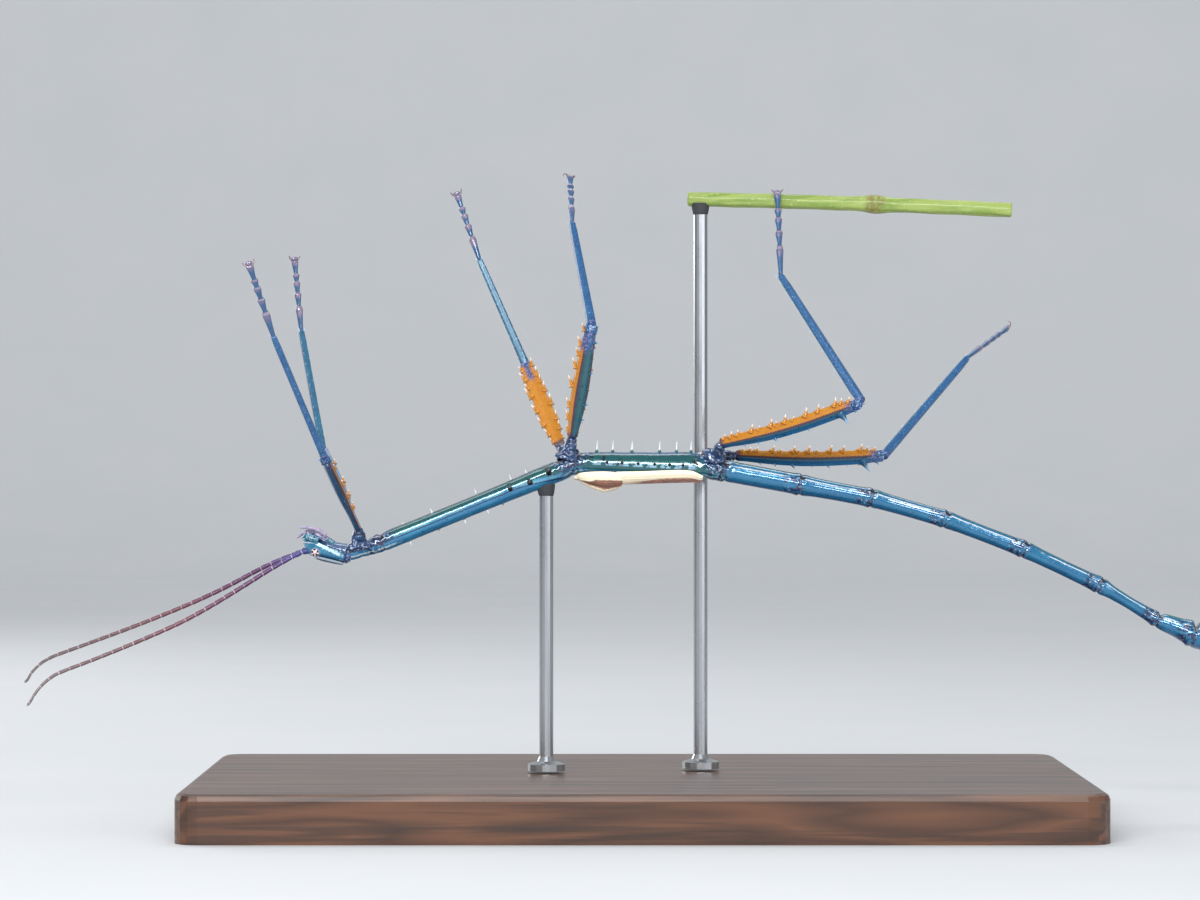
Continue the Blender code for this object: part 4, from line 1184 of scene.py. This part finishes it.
# %% Directions and girths of a leg
LIMB_ROWS = 72
LIMB_SIDES = 40
PERCENTS = np.linspace(0, 1, 101)
GRIPPING_SOLE = {"hindleg_right": np.array([0.0, 1.0, 0.25])}
THIGH_BOW = {"fore": 0.0, "mid": 0.12, "hind": 0.45}
# half of a thigh's outline: back ridge, flank, keel and hollow belly face
KEELED_HALF = ((0.0, -1.0), (0.72, -0.60), (1.0, 0.05), (0.93, 0.85), (0.80, 1.0), (0.0, 0.80))


def square_to(along, other):
    """The part of a direction that is square to another one."""
    return unit(other - along * (other @ along))


def part(leg, number):
    """A part's first joint, the way to its next one, and the side that the next joint closes to."""
    coxa, thigh, shin, foot = unit(np.diff(leg_joints[leg], axis=0))
    sole = GRIPPING_SOLE.get(leg, square_to(shin, -thigh))
    bellies = (square_to(coxa, np.cross(UP, coxa)), square_to(thigh, shin),
               square_to(shin, -thigh), square_to(foot, sole))
    start, end = leg_joints[leg][number:number + 2]
    return start, end - start, bellies[number]


def keeled(sides):
    """A thigh's outline: a hollow belly face between two keels, and a ridge along the back."""
    half = np.array(KEELED_HALF)
    loop = np.vstack([half, half[-2:0:-1] * [-1, 1], half[:1]])
    outline = spread_along(loop, sides + 1)[0][:-1]
    return soften(np.concatenate([outline[-3:], outline, outline[:3]]), 1)[3:-3]


def bow(leg, number, share):
    """How far a part bends away from its belly: a half wave along it, and only on the thighs."""
    depth = THIGH_BOW[leg.split("leg_")[0]] * (number == 1)
    return -depth * np.sin(np.pi * np.clip(share, 0, 1))


def limb(leg, name, number, outline=None, tuck=(0.3, 0.3), round_over=0.6, keep=0.5):
    """One straight part: its grid, axis and length, and each ring's place, rise and sizes."""
    start, way, belly = part(leg, number)
    length, along = np.linalg.norm(way), unit(way)
    share = np.linspace(0.0, 1.0, LIMB_ROWS)
    share = share - 0.7 * np.sin(2 * np.pi * share) / (2 * np.pi)
    reach = -tuck[0] + (length + sum(tuck)) * share
    places, sizes = girths(leg + "_" + name, start, start + way, belly, keep)
    sizes = soften(read(reach / length, places, sizes), 1)
    near = np.minimum(reach - reach[0], reach[-1] - reach) / round_over
    sizes = sizes * dome(near, 0.01)[:, None]
    axis = start + along * reach[:, None]
    path = axis + belly * bow(leg, number, reach / length)[:, None]
    if outline is None:
        shape, rise = oval(*sizes.T, LIMB_SIDES), np.sin(turns(LIMB_SIDES))
    else:
        across, rise = outline.T
        depth = np.where(rise > 0, sizes[:, 1:2], sizes[:, 2:3])
        shape = np.stack([across * sizes[:, :1], rise * depth], axis=-1)
    grid = carry(path, shape, belly, np.cross(along, belly))
    return grid, axis, length, reach, rise, sizes


def on_limb(leg, number, share, across, rise):
    """A place on a part of a leg, across and belly-wards from its axis, in millimetres."""
    start, way, belly = part(leg, number)
    rise = rise + bow(leg, number, share)
    return start + way * share + np.cross(unit(way), belly) * across + belly * rise


def limb_spine(leg, number, foot, tip, radius, **more):
    """A spine between two places on a part, each given by share, across and rise."""
    return spine(on_limb(leg, number, *foot), on_limb(leg, number, *tip), radius, **more)


# %% [markdown]
# ### Coxae
#
# A coxa is a violet swivel joint, wrinkled by soft skin at both ends, with the small trochanter
# after it. The wrinkles are rings that rise and fall along it, cut across by a second, slower
# wave so that they look like skin and not like a screw.


# %% Make the coxae
def coxa_finish():
    """Violet with pale dots that are partly painted glints, dark dots, and painted shade in the
    creases.
    """
    begin("coxa_cuticle", 0.28, Metallic=0.2, Coat_Weight=0.7, Coat_Roughness=0.08)
    crease, = measures("crease")
    fine = cloud(0.22, 4.0)
    return cuticle(paint(
        mix(cloud(0.8), VIOLET, mix(fine, DEEP_BLUE, TEAL)),
        (edge(fine, 0.56, 0.68) * 0.6, LILAC),
        (edge(cloud(0.6, 3.0), 0.54, 0.62) * 0.7, NAVY),
        # Lilac freckles whose frost end is painted glints.
        (dots(0.5, 0.12) * 0.85, mix(fine, LILAC, FROST)),
        # Painted shade in the creases.
        (edge(crease, 0.35, 0.9) * 0.8, NAVY),
        (dots(0.9, 0.10) * 0.8, INK)))


coxa_look = coxa_finish()
around = turns(LIMB_SIDES)
for leg in LEGS:
    grid, axis, length, reach, *_ = limb(leg, "coxa", 0, tuck=(0.9, 0.35), round_over=0.5)
    reach = reach[:, None]
    wave = np.sin(reach * 9.0 + 0.9 * np.sin(around * 2 + 1.3) + 0.5 * np.sin(around * 5))
    slot_in = bell(reach - length * 0.72, 0.16)
    off_middle = 1 - bell(reach - length * 0.4, 0.7)
    out = unit(grid - axis[:, None])
    lobes = 0.55 + 0.75 * abs(out[..., 0]) + 0.22 * np.sin(around * 3 + leg_joints[leg][0][0])
    flare = np.clip(0.55 - reach, 0, 1.45) ** 1.4 * 0.62 * lobes
    grid = push(grid, axis, flare + 0.05 * wave * off_middle - 0.14 * slot_in)
    crease = np.clip(-wave, 0, 1) * 0.6 * off_middle + slot_in
    piece(leg + "_root", [shell(grid, crease=crease)], coxa_look, [leg + "_coxa"])

# %% [markdown]
# ### Thighs
#
# The teeth are tall, leaning triangles with pale points. Big and small ones follow each other in
# no strict order, so their places are a table for each pair of legs. A wine-red saw line parts
# the orange from the blue. Towards the knee the orange gives way to a violet tongue.

# %% Tables of teeth and thorns
# share of the thigh, height in millimetres
TEETH = {
    "fore": ((0.26, 0.30), (0.40, 0.42), (0.56, 0.42), (0.80, 0.30)),
    "mid": ((0.04, 0.34), (0.13, 0.62), (0.25, 0.76), (0.42, 0.80), (0.60, 0.84), (0.70, 0.52),
            (0.80, 0.74), (0.92, 0.50)),
    "hind": ((0.02, 0.40), (0.055, 0.50), (0.115, 0.62), (0.21, 0.72), (0.275, 0.28), (0.35, 0.74),
             (0.395, 0.30), (0.45, 0.80), (0.52, 0.28), (0.60, 0.82), (0.70, 0.84), (0.81, 0.78),
             (0.865, 0.56), (0.905, 0.46)),
}
# share of the thigh, height, width of the foot
THORNS = {
    "fore": ((0.45, 0.18, 0.12), (0.70, 0.18, 0.12), (0.95, 0.40, 0.18)),
    "mid": ((0.17, 0.42, 0.17), (0.31, 0.46, 0.18), (0.45, 0.24, 0.14), (0.59, 0.38, 0.17),
            (0.86, 0.55, 0.22), (0.95, 0.40, 0.20)),
    "hind": ((0.15, 0.40, 0.20), (0.25, 0.52, 0.22), (0.37, 0.70, 0.26), (0.50, 0.34, 0.18),
             (0.61, 0.58, 0.24), (0.74, 0.36, 0.18), (0.86, 1.30, 0.46), (0.95, 0.60, 0.26)),
}
ORANGE_FROM = {"fore": 0.90, "mid": -0.55, "hind": -0.30}
GREEN_BELOW = {"fore": 0.16, "mid": 0.36, "hind": 0.20}
TOOTH_SPLAY = {"fore": 0.10, "mid": 0.42, "hind": 0.28}
TOOTH_LEAN = {"fore": 0.8, "mid": 1.1, "hind": 0.3}
THORN_TURN = {"fore": 0.0, "mid": 0.55, "hind": 0.0}
TONGUE_FROM = {"fore": 0.90, "mid": 0.80, "hind": 0.92}
HORN_FROM, HORN_FULL = 0.005, 0.02
KNEE_SPUR, ANKLE_SPUR = 0.965, 0.975


# %% Finish of the thighs
def thigh_finish(pair):
    """Blue and orange on either side of a saw line in rise, with a painted shade band beside it,
    then root, knee, teeth and thorns.
    """
    length = np.linalg.norm(part(pair + "leg_right", 1)[1])
    begin(pair + "_thigh", 0.34, Coat_Weight=0.4, Coat_Roughness=0.12)
    along, rise, tip = measures("along", "rise", "tip")
    patches, fine = cloud(1.2), cloud(0.24, 4.0)
    level = rise + zigzag(along, 0.32) * 0.13
    border = ORANGE_FROM[pair] + 0.08
    orange = mix(patches, ORANGE, (184, 110, 14))
    orange = mix(edge(fine, 0.5, 0.66) * 0.45, orange, DEEP_ORANGE)
    green = mix(patches, (10, 62, 58), (24, 90, 74))
    blue = paint(
        mix(patches, (12, 62, 104), (28, 94, 134)),
        (edge(rise, -0.65, -0.95), mix(patches, DEEP_BLUE, (30, 104, 146))),
        (band(rise, border - GREEN_BELOW[pair], 0.10, 0.10) * 0.8, green),
        (dots(0.85, 0.11) * 0.8, INK))
    start, full = length * TONGUE_FROM[pair], length * (TONGUE_FROM[pair] + 0.07)
    tongue = edge(along + fine * 1.5, start, full) * edge(rise, 0.97, 0.85)
    speckled = edge(fine, 0.5, 0.62)
    knee = mix(speckled, mix(patches, DEEP_BLUE, (44, 70, 124)), (118, 140, 186))
    knee = mix(dots(0.45, 0.10) * 0.8, knee, FROST)
    tooth = mix(edge(tip, 0.45, 0.85), orange, (250, 220, 200))
    thorn = mix(edge(tip, 0.35, 0.85), mix(patches, TEAL, DEEP_BLUE), (132, 170, 200))
    return cuticle(paint(
        mix(edge(level, border, border + 0.06), blue, orange),
        # Painted shade: a dark band beside the saw line, on the blue side.
        (band(level, border - 0.12, 0.08, 0.08) * 0.6, (28, 30, 62)),
        (band(level, border - 0.02, 0.06, 0.05), WINE),
        (tongue * 0.9, mix(speckled, mix(patches, DEEP_BLUE, VIOLET), LILAC)),
        (edge(along + fine * 0.8, length - 0.6, length + 0.2) * 0.9, knee),
        (edge(along, 0.9, 0.1) * 0.8, mix(fine, VIOLET, NAVY)),
        (edge(tip, HORN_FROM, HORN_FULL), mix(edge(rise, -0.2, 0.2), thorn, tooth))))


# %% Make the thighs
for leg in LEGS:
    pair, label = leg.split("leg_")
    if label == "right":
        thigh_look = thigh_finish(pair)
    grid, axis, length, reach, rise, sizes = limb(leg, "femur", 1, keeled(LIMB_SIDES * 2), keep=0.35)
    width, deep, back = read(PERCENTS, reach / length, sizes).T
    _, way, belly = part(leg, 1)
    ahead = unit(way)
    rearward = np.sign(np.cross(ahead, belly)[0])
    toothed = (-1, 1)
    if pair == "fore":
        rise = unit(grid - axis[:, None]) @ square_to(ahead, -nose)
        toothed = (rearward,)
    shells = [shell(grid, along=reach[:, None], rise=rise, tip=0.0)]
    for row, side in enumerate(toothed):
        for number, (share, height) in enumerate(TEETH[pair]):
            share = share + 0.012 * row * (1 + number % 2)
            here = int(share * 100)
            size = height * (1.0 - 0.18 * ((number + row) % 2))
            foot = share, side * width[here] * 0.94, deep[here] * 0.84
            tip = (share + (0.24 + TOOTH_LEAN[pair] * size) / length,
                   side * (width[here] + TOOTH_SPLAY[pair] * size), deep[here] + 0.90 * size)
            shells.append(limb_spine(leg, 1, foot, tip, 0.15 + 0.18 * size, bend=ahead * 0.10,
                                     along=share * length, rise=1.0))
    for share, height, foot_width in THORNS[pair]:
        here = int(share * 100)
        turned = rearward * THORN_TURN[pair] * width[here]
        foot = share, turned, -back[here] * 0.80
        tip = (share + height * 0.5 / length, turned * (1 + 1.2 * height / width[here]),
               -back[here] * 0.9 - height)
        shells.append(limb_spine(leg, 1, foot, tip, foot_width, along=share * length, rise=-1.0))
    here = int(KNEE_SPUR * 100)
    for side in (-1, 1):
        foot = KNEE_SPUR, side * width[here] * 0.75, -back[here] * 0.3
        tip = 1.0 + 0.35 / length, side * (width[here] + 0.25), -back[here] * 0.1
        shells.append(limb_spine(leg, 1, foot, tip, 0.22, along=length, rise=-1.0))
    piece(leg + "_thigh", shells, thigh_look, [leg + "_femur"])

# %% [markdown]
# ### Shins
#
# A shin is a slim tube with four blunt edges, a row of short pricks on each of the two belly
# edges, and a pair of spurs over the ankle. Its finish is the leg's plain blue, peppered with
# pale and dark grains.

# %% Make the shins
PRICK_PITCH = 1.5
PRICK_GRID = {"sides": 7, "rows": 6}


def shin_finish():
    """Blue by rise, grains by a fine noise, and pale tips on the pricks."""
    begin("shin_cuticle", 0.40, Metallic=0.1, Coat_Weight=0.3, Coat_Roughness=0.20)
    along, rise, tip = measures("along", "rise", "tip")
    patches, fine = cloud(1.6), cloud(0.16, 5.0)
    return cuticle(paint(
        mix(patches, (20, 66, 116), (40, 98, 146)),
        (edge(rise, 0.3, 0.9), mix(patches, (18, 76, 108), (44, 110, 138))),
        (edge(fine, 0.58, 0.70) * 0.55, (150, 184, 214)),
        (edge(fine, 0.42, 0.32) * 0.75, NAVY),
        (edge(along, 0.5, 0.1), mix(fine, DEEP_BLUE, VIOLET)),
        (band(along, 0.30, 0.04, 0.04) * 0.7, LILAC),
        (edge(tip, HORN_FROM, HORN_FULL), mix(edge(tip, 0.3, 0.7), (60, 110, 160), FROST))))


shin_look = shin_finish()
for leg in LEGS:
    grid, axis, length, reach, rise, sizes = limb(leg, "tibia", 2, tuck=(0.35, 0.2), round_over=0.5)
    edges = 0.045 * np.cos(4 * turns(LIMB_SIDES) + np.pi) * np.clip(reach, 0, 1)[:, None]
    shells = [shell(push(grid, axis, edges), along=reach[:, None], rise=rise, tip=0.0)]
    width, deep, back = read(PERCENTS, reach / length, sizes).T
    count = int(length / PRICK_PITCH)
    for side in (-1, 1):
        for number in range(1, count):
            share = (number + 0.25 * side) * (1.0 / count)
            here = int(share * 100)
            foot = share, side * width[here] * 0.66, deep[here] * 0.66
            tip = share + 0.22 / length, side * width[here] * 0.95, deep[here] + 0.16
            shells.append(limb_spine(leg, 2, foot, tip, 0.07, along=share * length, rise=1.0,
                                     **PRICK_GRID))
        here = int(ANKLE_SPUR * 100)
        foot = ANKLE_SPUR, side * width[here] * 0.6, deep[here] * 0.5
        tip = 1.0 + 0.40 / length, side * width[here] * 1.1, deep[here] + 0.10
        shells.append(limb_spine(leg, 2, foot, tip, 0.10, along=length, rise=1.0, **PRICK_GRID))
    piece(leg + "_shin", shells, shin_look, [leg + "_tibia"])

# %% [markdown]
# ### Feet
#
# Each foot has five segments, narrow where they start and lobed where they end, with a soft pale
# pad under every lobe. The last one carries two hooked claws with a round pad between them, which
# is how the animal holds the stem.

# %% Shape a foot
TARSOMERES = (0.36, 0.18, 0.155, 0.105, 0.20)
FOOT_ROWS = 96
CLAW = 0.95
INTO_SHIN = 0.15


def foot_finish():
    """Blue segments that turn grey to their lobes, pale pads below, and brown claws."""
    begin("foot_cuticle", 0.30, Metallic=0.2, Coat_Weight=0.6, Coat_Roughness=0.10)
    lobe, rise, tip = measures("lobe", "rise", "tip")
    patches, fine = cloud(0.9), cloud(0.18, 4.0)
    pads = edge(rise, 0.3, 0.7) * edge(lobe, 0.45, 0.7) * 0.6
    claw = tones(tip, ((0.0, (120, 112, 130)), (0.55, (140, 118, 124)), (1.0, (54, 30, 32))))
    return cuticle(paint(
        mix(patches, (30, 70, 112), (58, 98, 138)),
        (edge(fine, 0.4, 0.3) * 0.6, NAVY),
        (edge(lobe, 0.50, 0.80) * 0.8, mix(fine, (74, 74, 112), (128, 118, 146))),
        (band(lobe, 0.93, 0.02, 0.05) * 0.45, (178, 160, 166)),
        (edge(lobe, 0.10, 0.0) * 0.8, (52, 44, 84)),
        (pads, mix(fine, (112, 100, 126), (160, 144, 164))),
        (edge(tip, HORN_FROM, HORN_FULL), claw)))


def foot_shells(leg):
    """The five lobed segments in one carried outline, then the pad and the two claws."""
    start, way, belly = part(leg, 3)
    end, length, along = leg_joints[leg][4], np.linalg.norm(way), unit(way)
    aside = np.cross(along, belly)
    ends = np.concatenate([[0.0], np.cumsum(TARSOMERES)])
    share = np.linspace(0.0, 1.0, FOOT_ROWS)
    which = np.clip(np.searchsorted(ends, share, side="right") - 1, 0, 4)
    lobe = (share - ends[which]) / (ends[which + 1] - ends[which])
    swell = np.clip(lobe, 0, 1) ** 1.7 * np.sqrt(np.clip((1.02 - lobe) / 0.20, 0.05, 1))
    close = np.sqrt(np.clip(np.minimum(share, 1 - share) / 0.03, 0.02, 1))
    path = start - along * INTO_SHIN + along * (share * (length + INTO_SHIN))[:, None]
    outline = oval((0.28 + 0.28 * swell) * close, (0.26 + 0.26 * swell) * close,
                   (0.25 + 0.07 * swell) * close, 24)
    segments = shell(carry(path, outline, belly, aside), lobe=lobe[:, None],
                     rise=np.sin(turns(24)), tip=0.0)
    share, girth = rounded(14, 2.4)
    path = end + along * (share * 0.55 - 0.15)[:, None] + belly * (0.12 + 0.10 * share)[:, None]
    pad = carry(path, oval(0.46 * girth, 0.22 * girth, 0.18 * girth, 16), belly, aside)
    shells = [segments, shell(pad, lobe=1.0, rise=1.0, tip=0.0)]
    for side in (-1, 1):
        foot = end - along * 0.25 + aside * (side * 0.22)
        tip = end + along * (CLAW * 0.40) + aside * (side * 0.66) + belly * (CLAW * 0.66)
        bend = along * 0.36 + aside * (side * 0.30) - belly * 0.16
        shells.append(spine(foot, tip, 0.16, bend, flare=0.3, sides=10, rows=14, lobe=1.0, rise=0.0))
    return shells


foot_look = foot_finish()
for leg in LEGS:
    piece(leg + "_foot", foot_shells(leg), foot_look, [leg + "_tarsus"])

# %% [markdown]
# ## Tail feelers
#
# Two blunt cerci close the body behind the last ring. They share the abdomen's blue, dusted with
# violet, so they read as part of it.

# %% Make the cerci
CERCUS = ((0.0, 0.26), (0.45, 0.34), (0.85, 0.26), (0.96, 0.16), (1.0, 0.03))
begin("cercus_cuticle", 0.28, Coat_Weight=0.3)
blue = mix(cloud(0.6), DEEP_BLUE, SKY_BLUE)
cercus_look = cuticle(mix(edge(cloud(0.18, 4.0), 0.45, 0.6) * 0.6, blue, VIOLET))
for label, _ in SIDES:
    line = centre_line("cercus_" + label, trunk_joints[-1], 9)
    line = np.vstack([line[0] - tail_way * 0.7, line, line[-1] + tail_way * 0.12])
    path, along = spread_along(line, 40)
    cercus = shell(tube(path, table(CERCUS, along / along[-1])[0], 24))
    piece("tail_feeler_" + label, [cercus], cercus_look, ["cercus_" + label])

# %% [markdown]
# ## The perch and the stand
#
# The stem is a fresh green twig with one swollen knuckle, cut square at both ends. Its skin is
# streaked lengthways and pitted, and the cut ends show pale pith. The stand keeps the frame's own
# solids, which are already exact, and only its wood and steel are written here. A small soft pad
# on each rod joins it to what it carries.


# %% Make the stem
STEM_RADIUS = 0.92
CUT_RINGS = np.array([0.75, 0.45, 0.12])[:, None, None]


def stem_finish():
    """Green with long streaks, a scar on the knuckle, and pith on the cut ends."""
    begin("stem_bark", 0.42, Coat_Weight=0.1)
    girth, end = measures("girth", "end")
    streaks, fine = cloud(1.4, 4.0, (0.14, 1.4, 1.4)), cloud(0.35, 4.0)
    colour = paint(
        mix(cloud(5.0), (128, 148, 72), (158, 176, 96)),
        (edge(streaks, 0.46, 0.62) * 0.6, (98, 128, 46)),
        (edge(fine, 0.60, 0.70) * 0.6, (184, 198, 124)),
        (edge(girth, 0.08, 0.20) * edge(fine, 0.35, 0.6) * 0.8, (120, 96, 52)),
        (end, mix(cloud(0.4, 4.0), (222, 224, 178), (188, 196, 140))))
    return wear(colour, relief(streaks, 0.10, relief(fine, 0.04)))


line = centre_line("perch_stem", np.zeros(3), 33)
way = unit(line[-1] - line[0])
line = np.vstack([line[0] - way * 0.05, line, line[-1] + way * 0.05])
stem_path, along = spread_along(line, 150)
stem_path = soften_path(stem_path, 4)
knuckle = bell(along / along[-1] - 0.58, 0.035) * 0.26
around = turns(56)
bark = 0.028 * np.sin(around * 7 + 0.5 * np.sin(along[:, None] * 0.5))
bark = bark + 0.02 * np.sin(around * 3 + along[:, None])
trim = np.sqrt(np.clip(np.minimum(along, along[-1] - along) / 0.16, 0.7, 1))
radius = (STEM_RADIUS + knuckle)[:, None] * trim[:, None] + bark
_, up, aside = rails(stem_path, UP)
circle = np.stack([np.cos(around), np.sin(around)], axis=-1)
grid = carry(stem_path, radius[..., None] * circle, up, aside)
grid = np.concatenate([stem_path[0] + (grid[0] - stem_path[0]) * CUT_RINGS[::-1], grid,
                       stem_path[-1] + (grid[-1] - stem_path[-1]) * CUT_RINGS])
cut = np.pad(np.zeros(len(stem_path)), 3, constant_values=1.0)
stem = shell(grid, along=np.pad(along, 3, "edge")[:, None], girth=np.pad(knuckle, 3)[:, None],
             end=cut[:, None])
piece("stem", [stem], stem_finish(), ["perch_stem"])


# %% Wood and steel of the stand
def walnut():
    """Year rings from a stretched noise, with darker fibres across them."""
    begin("oiled_walnut", 0.38, Coat_Weight=0.25, Coat_Roughness=0.25)
    rings = zigzag(cloud(9.0, 3.0, (0.10, 1.0, 1.0)) * 9.0, 1.0)
    fibres = cloud(0.9, 5.0, (0.03, 1.0, 1.0))
    colour = mix(rings, (66, 40, 26), (98, 62, 40))
    colour = mix(edge(fibres, 0.48, 0.62) * 0.6, colour, (40, 24, 16))
    return wear(colour, relief(fibres, 0.03), fibres * 0.25 + 0.26)


def steel():
    """Grey with fine brush lines along the rod, and smudges in the gloss."""
    begin("brushed_steel", 0.3, Metallic=1.0)
    brushing = cloud(0.5, 4.0, (1.0, 1.0, 0.02))
    colour = mix(brushing, (150, 153, 158), (196, 198, 202))
    return wear(colour, relief(brushing, 0.004), cloud(6.0) * 0.12 + 0.22)


wood, metal = walnut(), steel()
for node, look in (("stand_base", wood), ("stand_rod_body", metal), ("stand_rod_perch", metal)):
    frame["nodes"][node].data.materials.clear()
    frame["nodes"][node].data.materials.append(look)


# %% Pads between the rods and what they carry
def middle_of(rod):
    """The middle of a rod's box, in millimetres."""
    return sum(map(np.array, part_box(rod))) / 2 / MM


def pad_shell(rod, top, slope):
    """A short round cup from a rod's shoulder into the underside above it, with a sloped top."""
    centre = middle_of(rod)
    share = np.linspace(0.0, 1.0, 14)[:, None]
    radius = 0.93 + 0.22 * np.sin(share * np.pi / 2) - 0.9 * np.clip(1 - share * 20, 0, 0.02)
    around = turns(32)
    across, deep = radius * np.cos(around), radius * np.sin(around)
    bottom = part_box(rod)[1].z / MM - 0.75
    height = bottom + (top + slope * across - bottom) * share
    return shell(np.stack([centre[0] + across, centre[1] + deep, height], axis=-1))


begin("soft_pad", 0.75)
pad_look = wear(mix(cloud(0.6, 3.0), (38, 40, 44), (58, 60, 64)), relief(cloud(0.15, 3.0), 0.02))
run, _, climb = trunk_joints[2] - trunk_joints[1]
under = np.argmin(abs(trunk_path[:, 0] - middle_of("stand_rod_body")[0]))
body_under = trunk_path[under, 2] - trunk_sizes[under, 2] / np.cos(np.arctan(climb / run))
stem_under = np.interp(middle_of("stand_rod_perch")[0], *stem_path.T[[0, 2]]) - STEM_RADIUS
pads = [pad_shell("stand_rod_body", body_under + 0.42, climb / run),
        pad_shell("stand_rod_perch", stem_under + 0.40, 0.0)]
piece("stand_pads", pads, pad_look)

# %% [markdown]
# ## Floor
#
# The floor is a pale sheet that sweeps up behind the stand, so that no horizon cuts through the
# thin legs. It is only for show, and isn't part of the model.

# %% Pale floor that sweeps up behind
FLOOR_NEAR, FLOOR_FAR, FLOOR_SIDE, SWEEP, WALL = -1400.0, 920.0, 2600.0, 400.0, 1200.0
run = np.concatenate([np.linspace(FLOOR_NEAR, FLOOR_FAR, 20), np.full(24, FLOOR_FAR)])
bend = np.concatenate([np.zeros(20), np.linspace(0.0, np.pi / 2, 24)])
sweep = np.stack([run + SWEEP * np.sin(bend), SWEEP * (1 - np.cos(bend))], axis=1)
sweep = np.vstack([sweep, sweep[-1] + (0.0, WALL)])
sheet = np.array([(x, y, z) for y, z in sweep for x in (-FLOOR_SIDE, FLOOR_SIDE)])
strips = [(first, first + 1, first + 3, first + 2) for first in range(0, len(sheet) - 2, 2)]
floor_mesh = bpy.data.meshes.new("floor")
floor_mesh.from_pydata(sheet * MM, [], strips)
floor_mesh.shade_smooth()
begin("paper", 0.75)
floor_mesh.materials.append(wear(mix(cloud(40.0), (202, 205, 208), (209, 211, 213))))
add_to_scene("floor", floor_mesh)
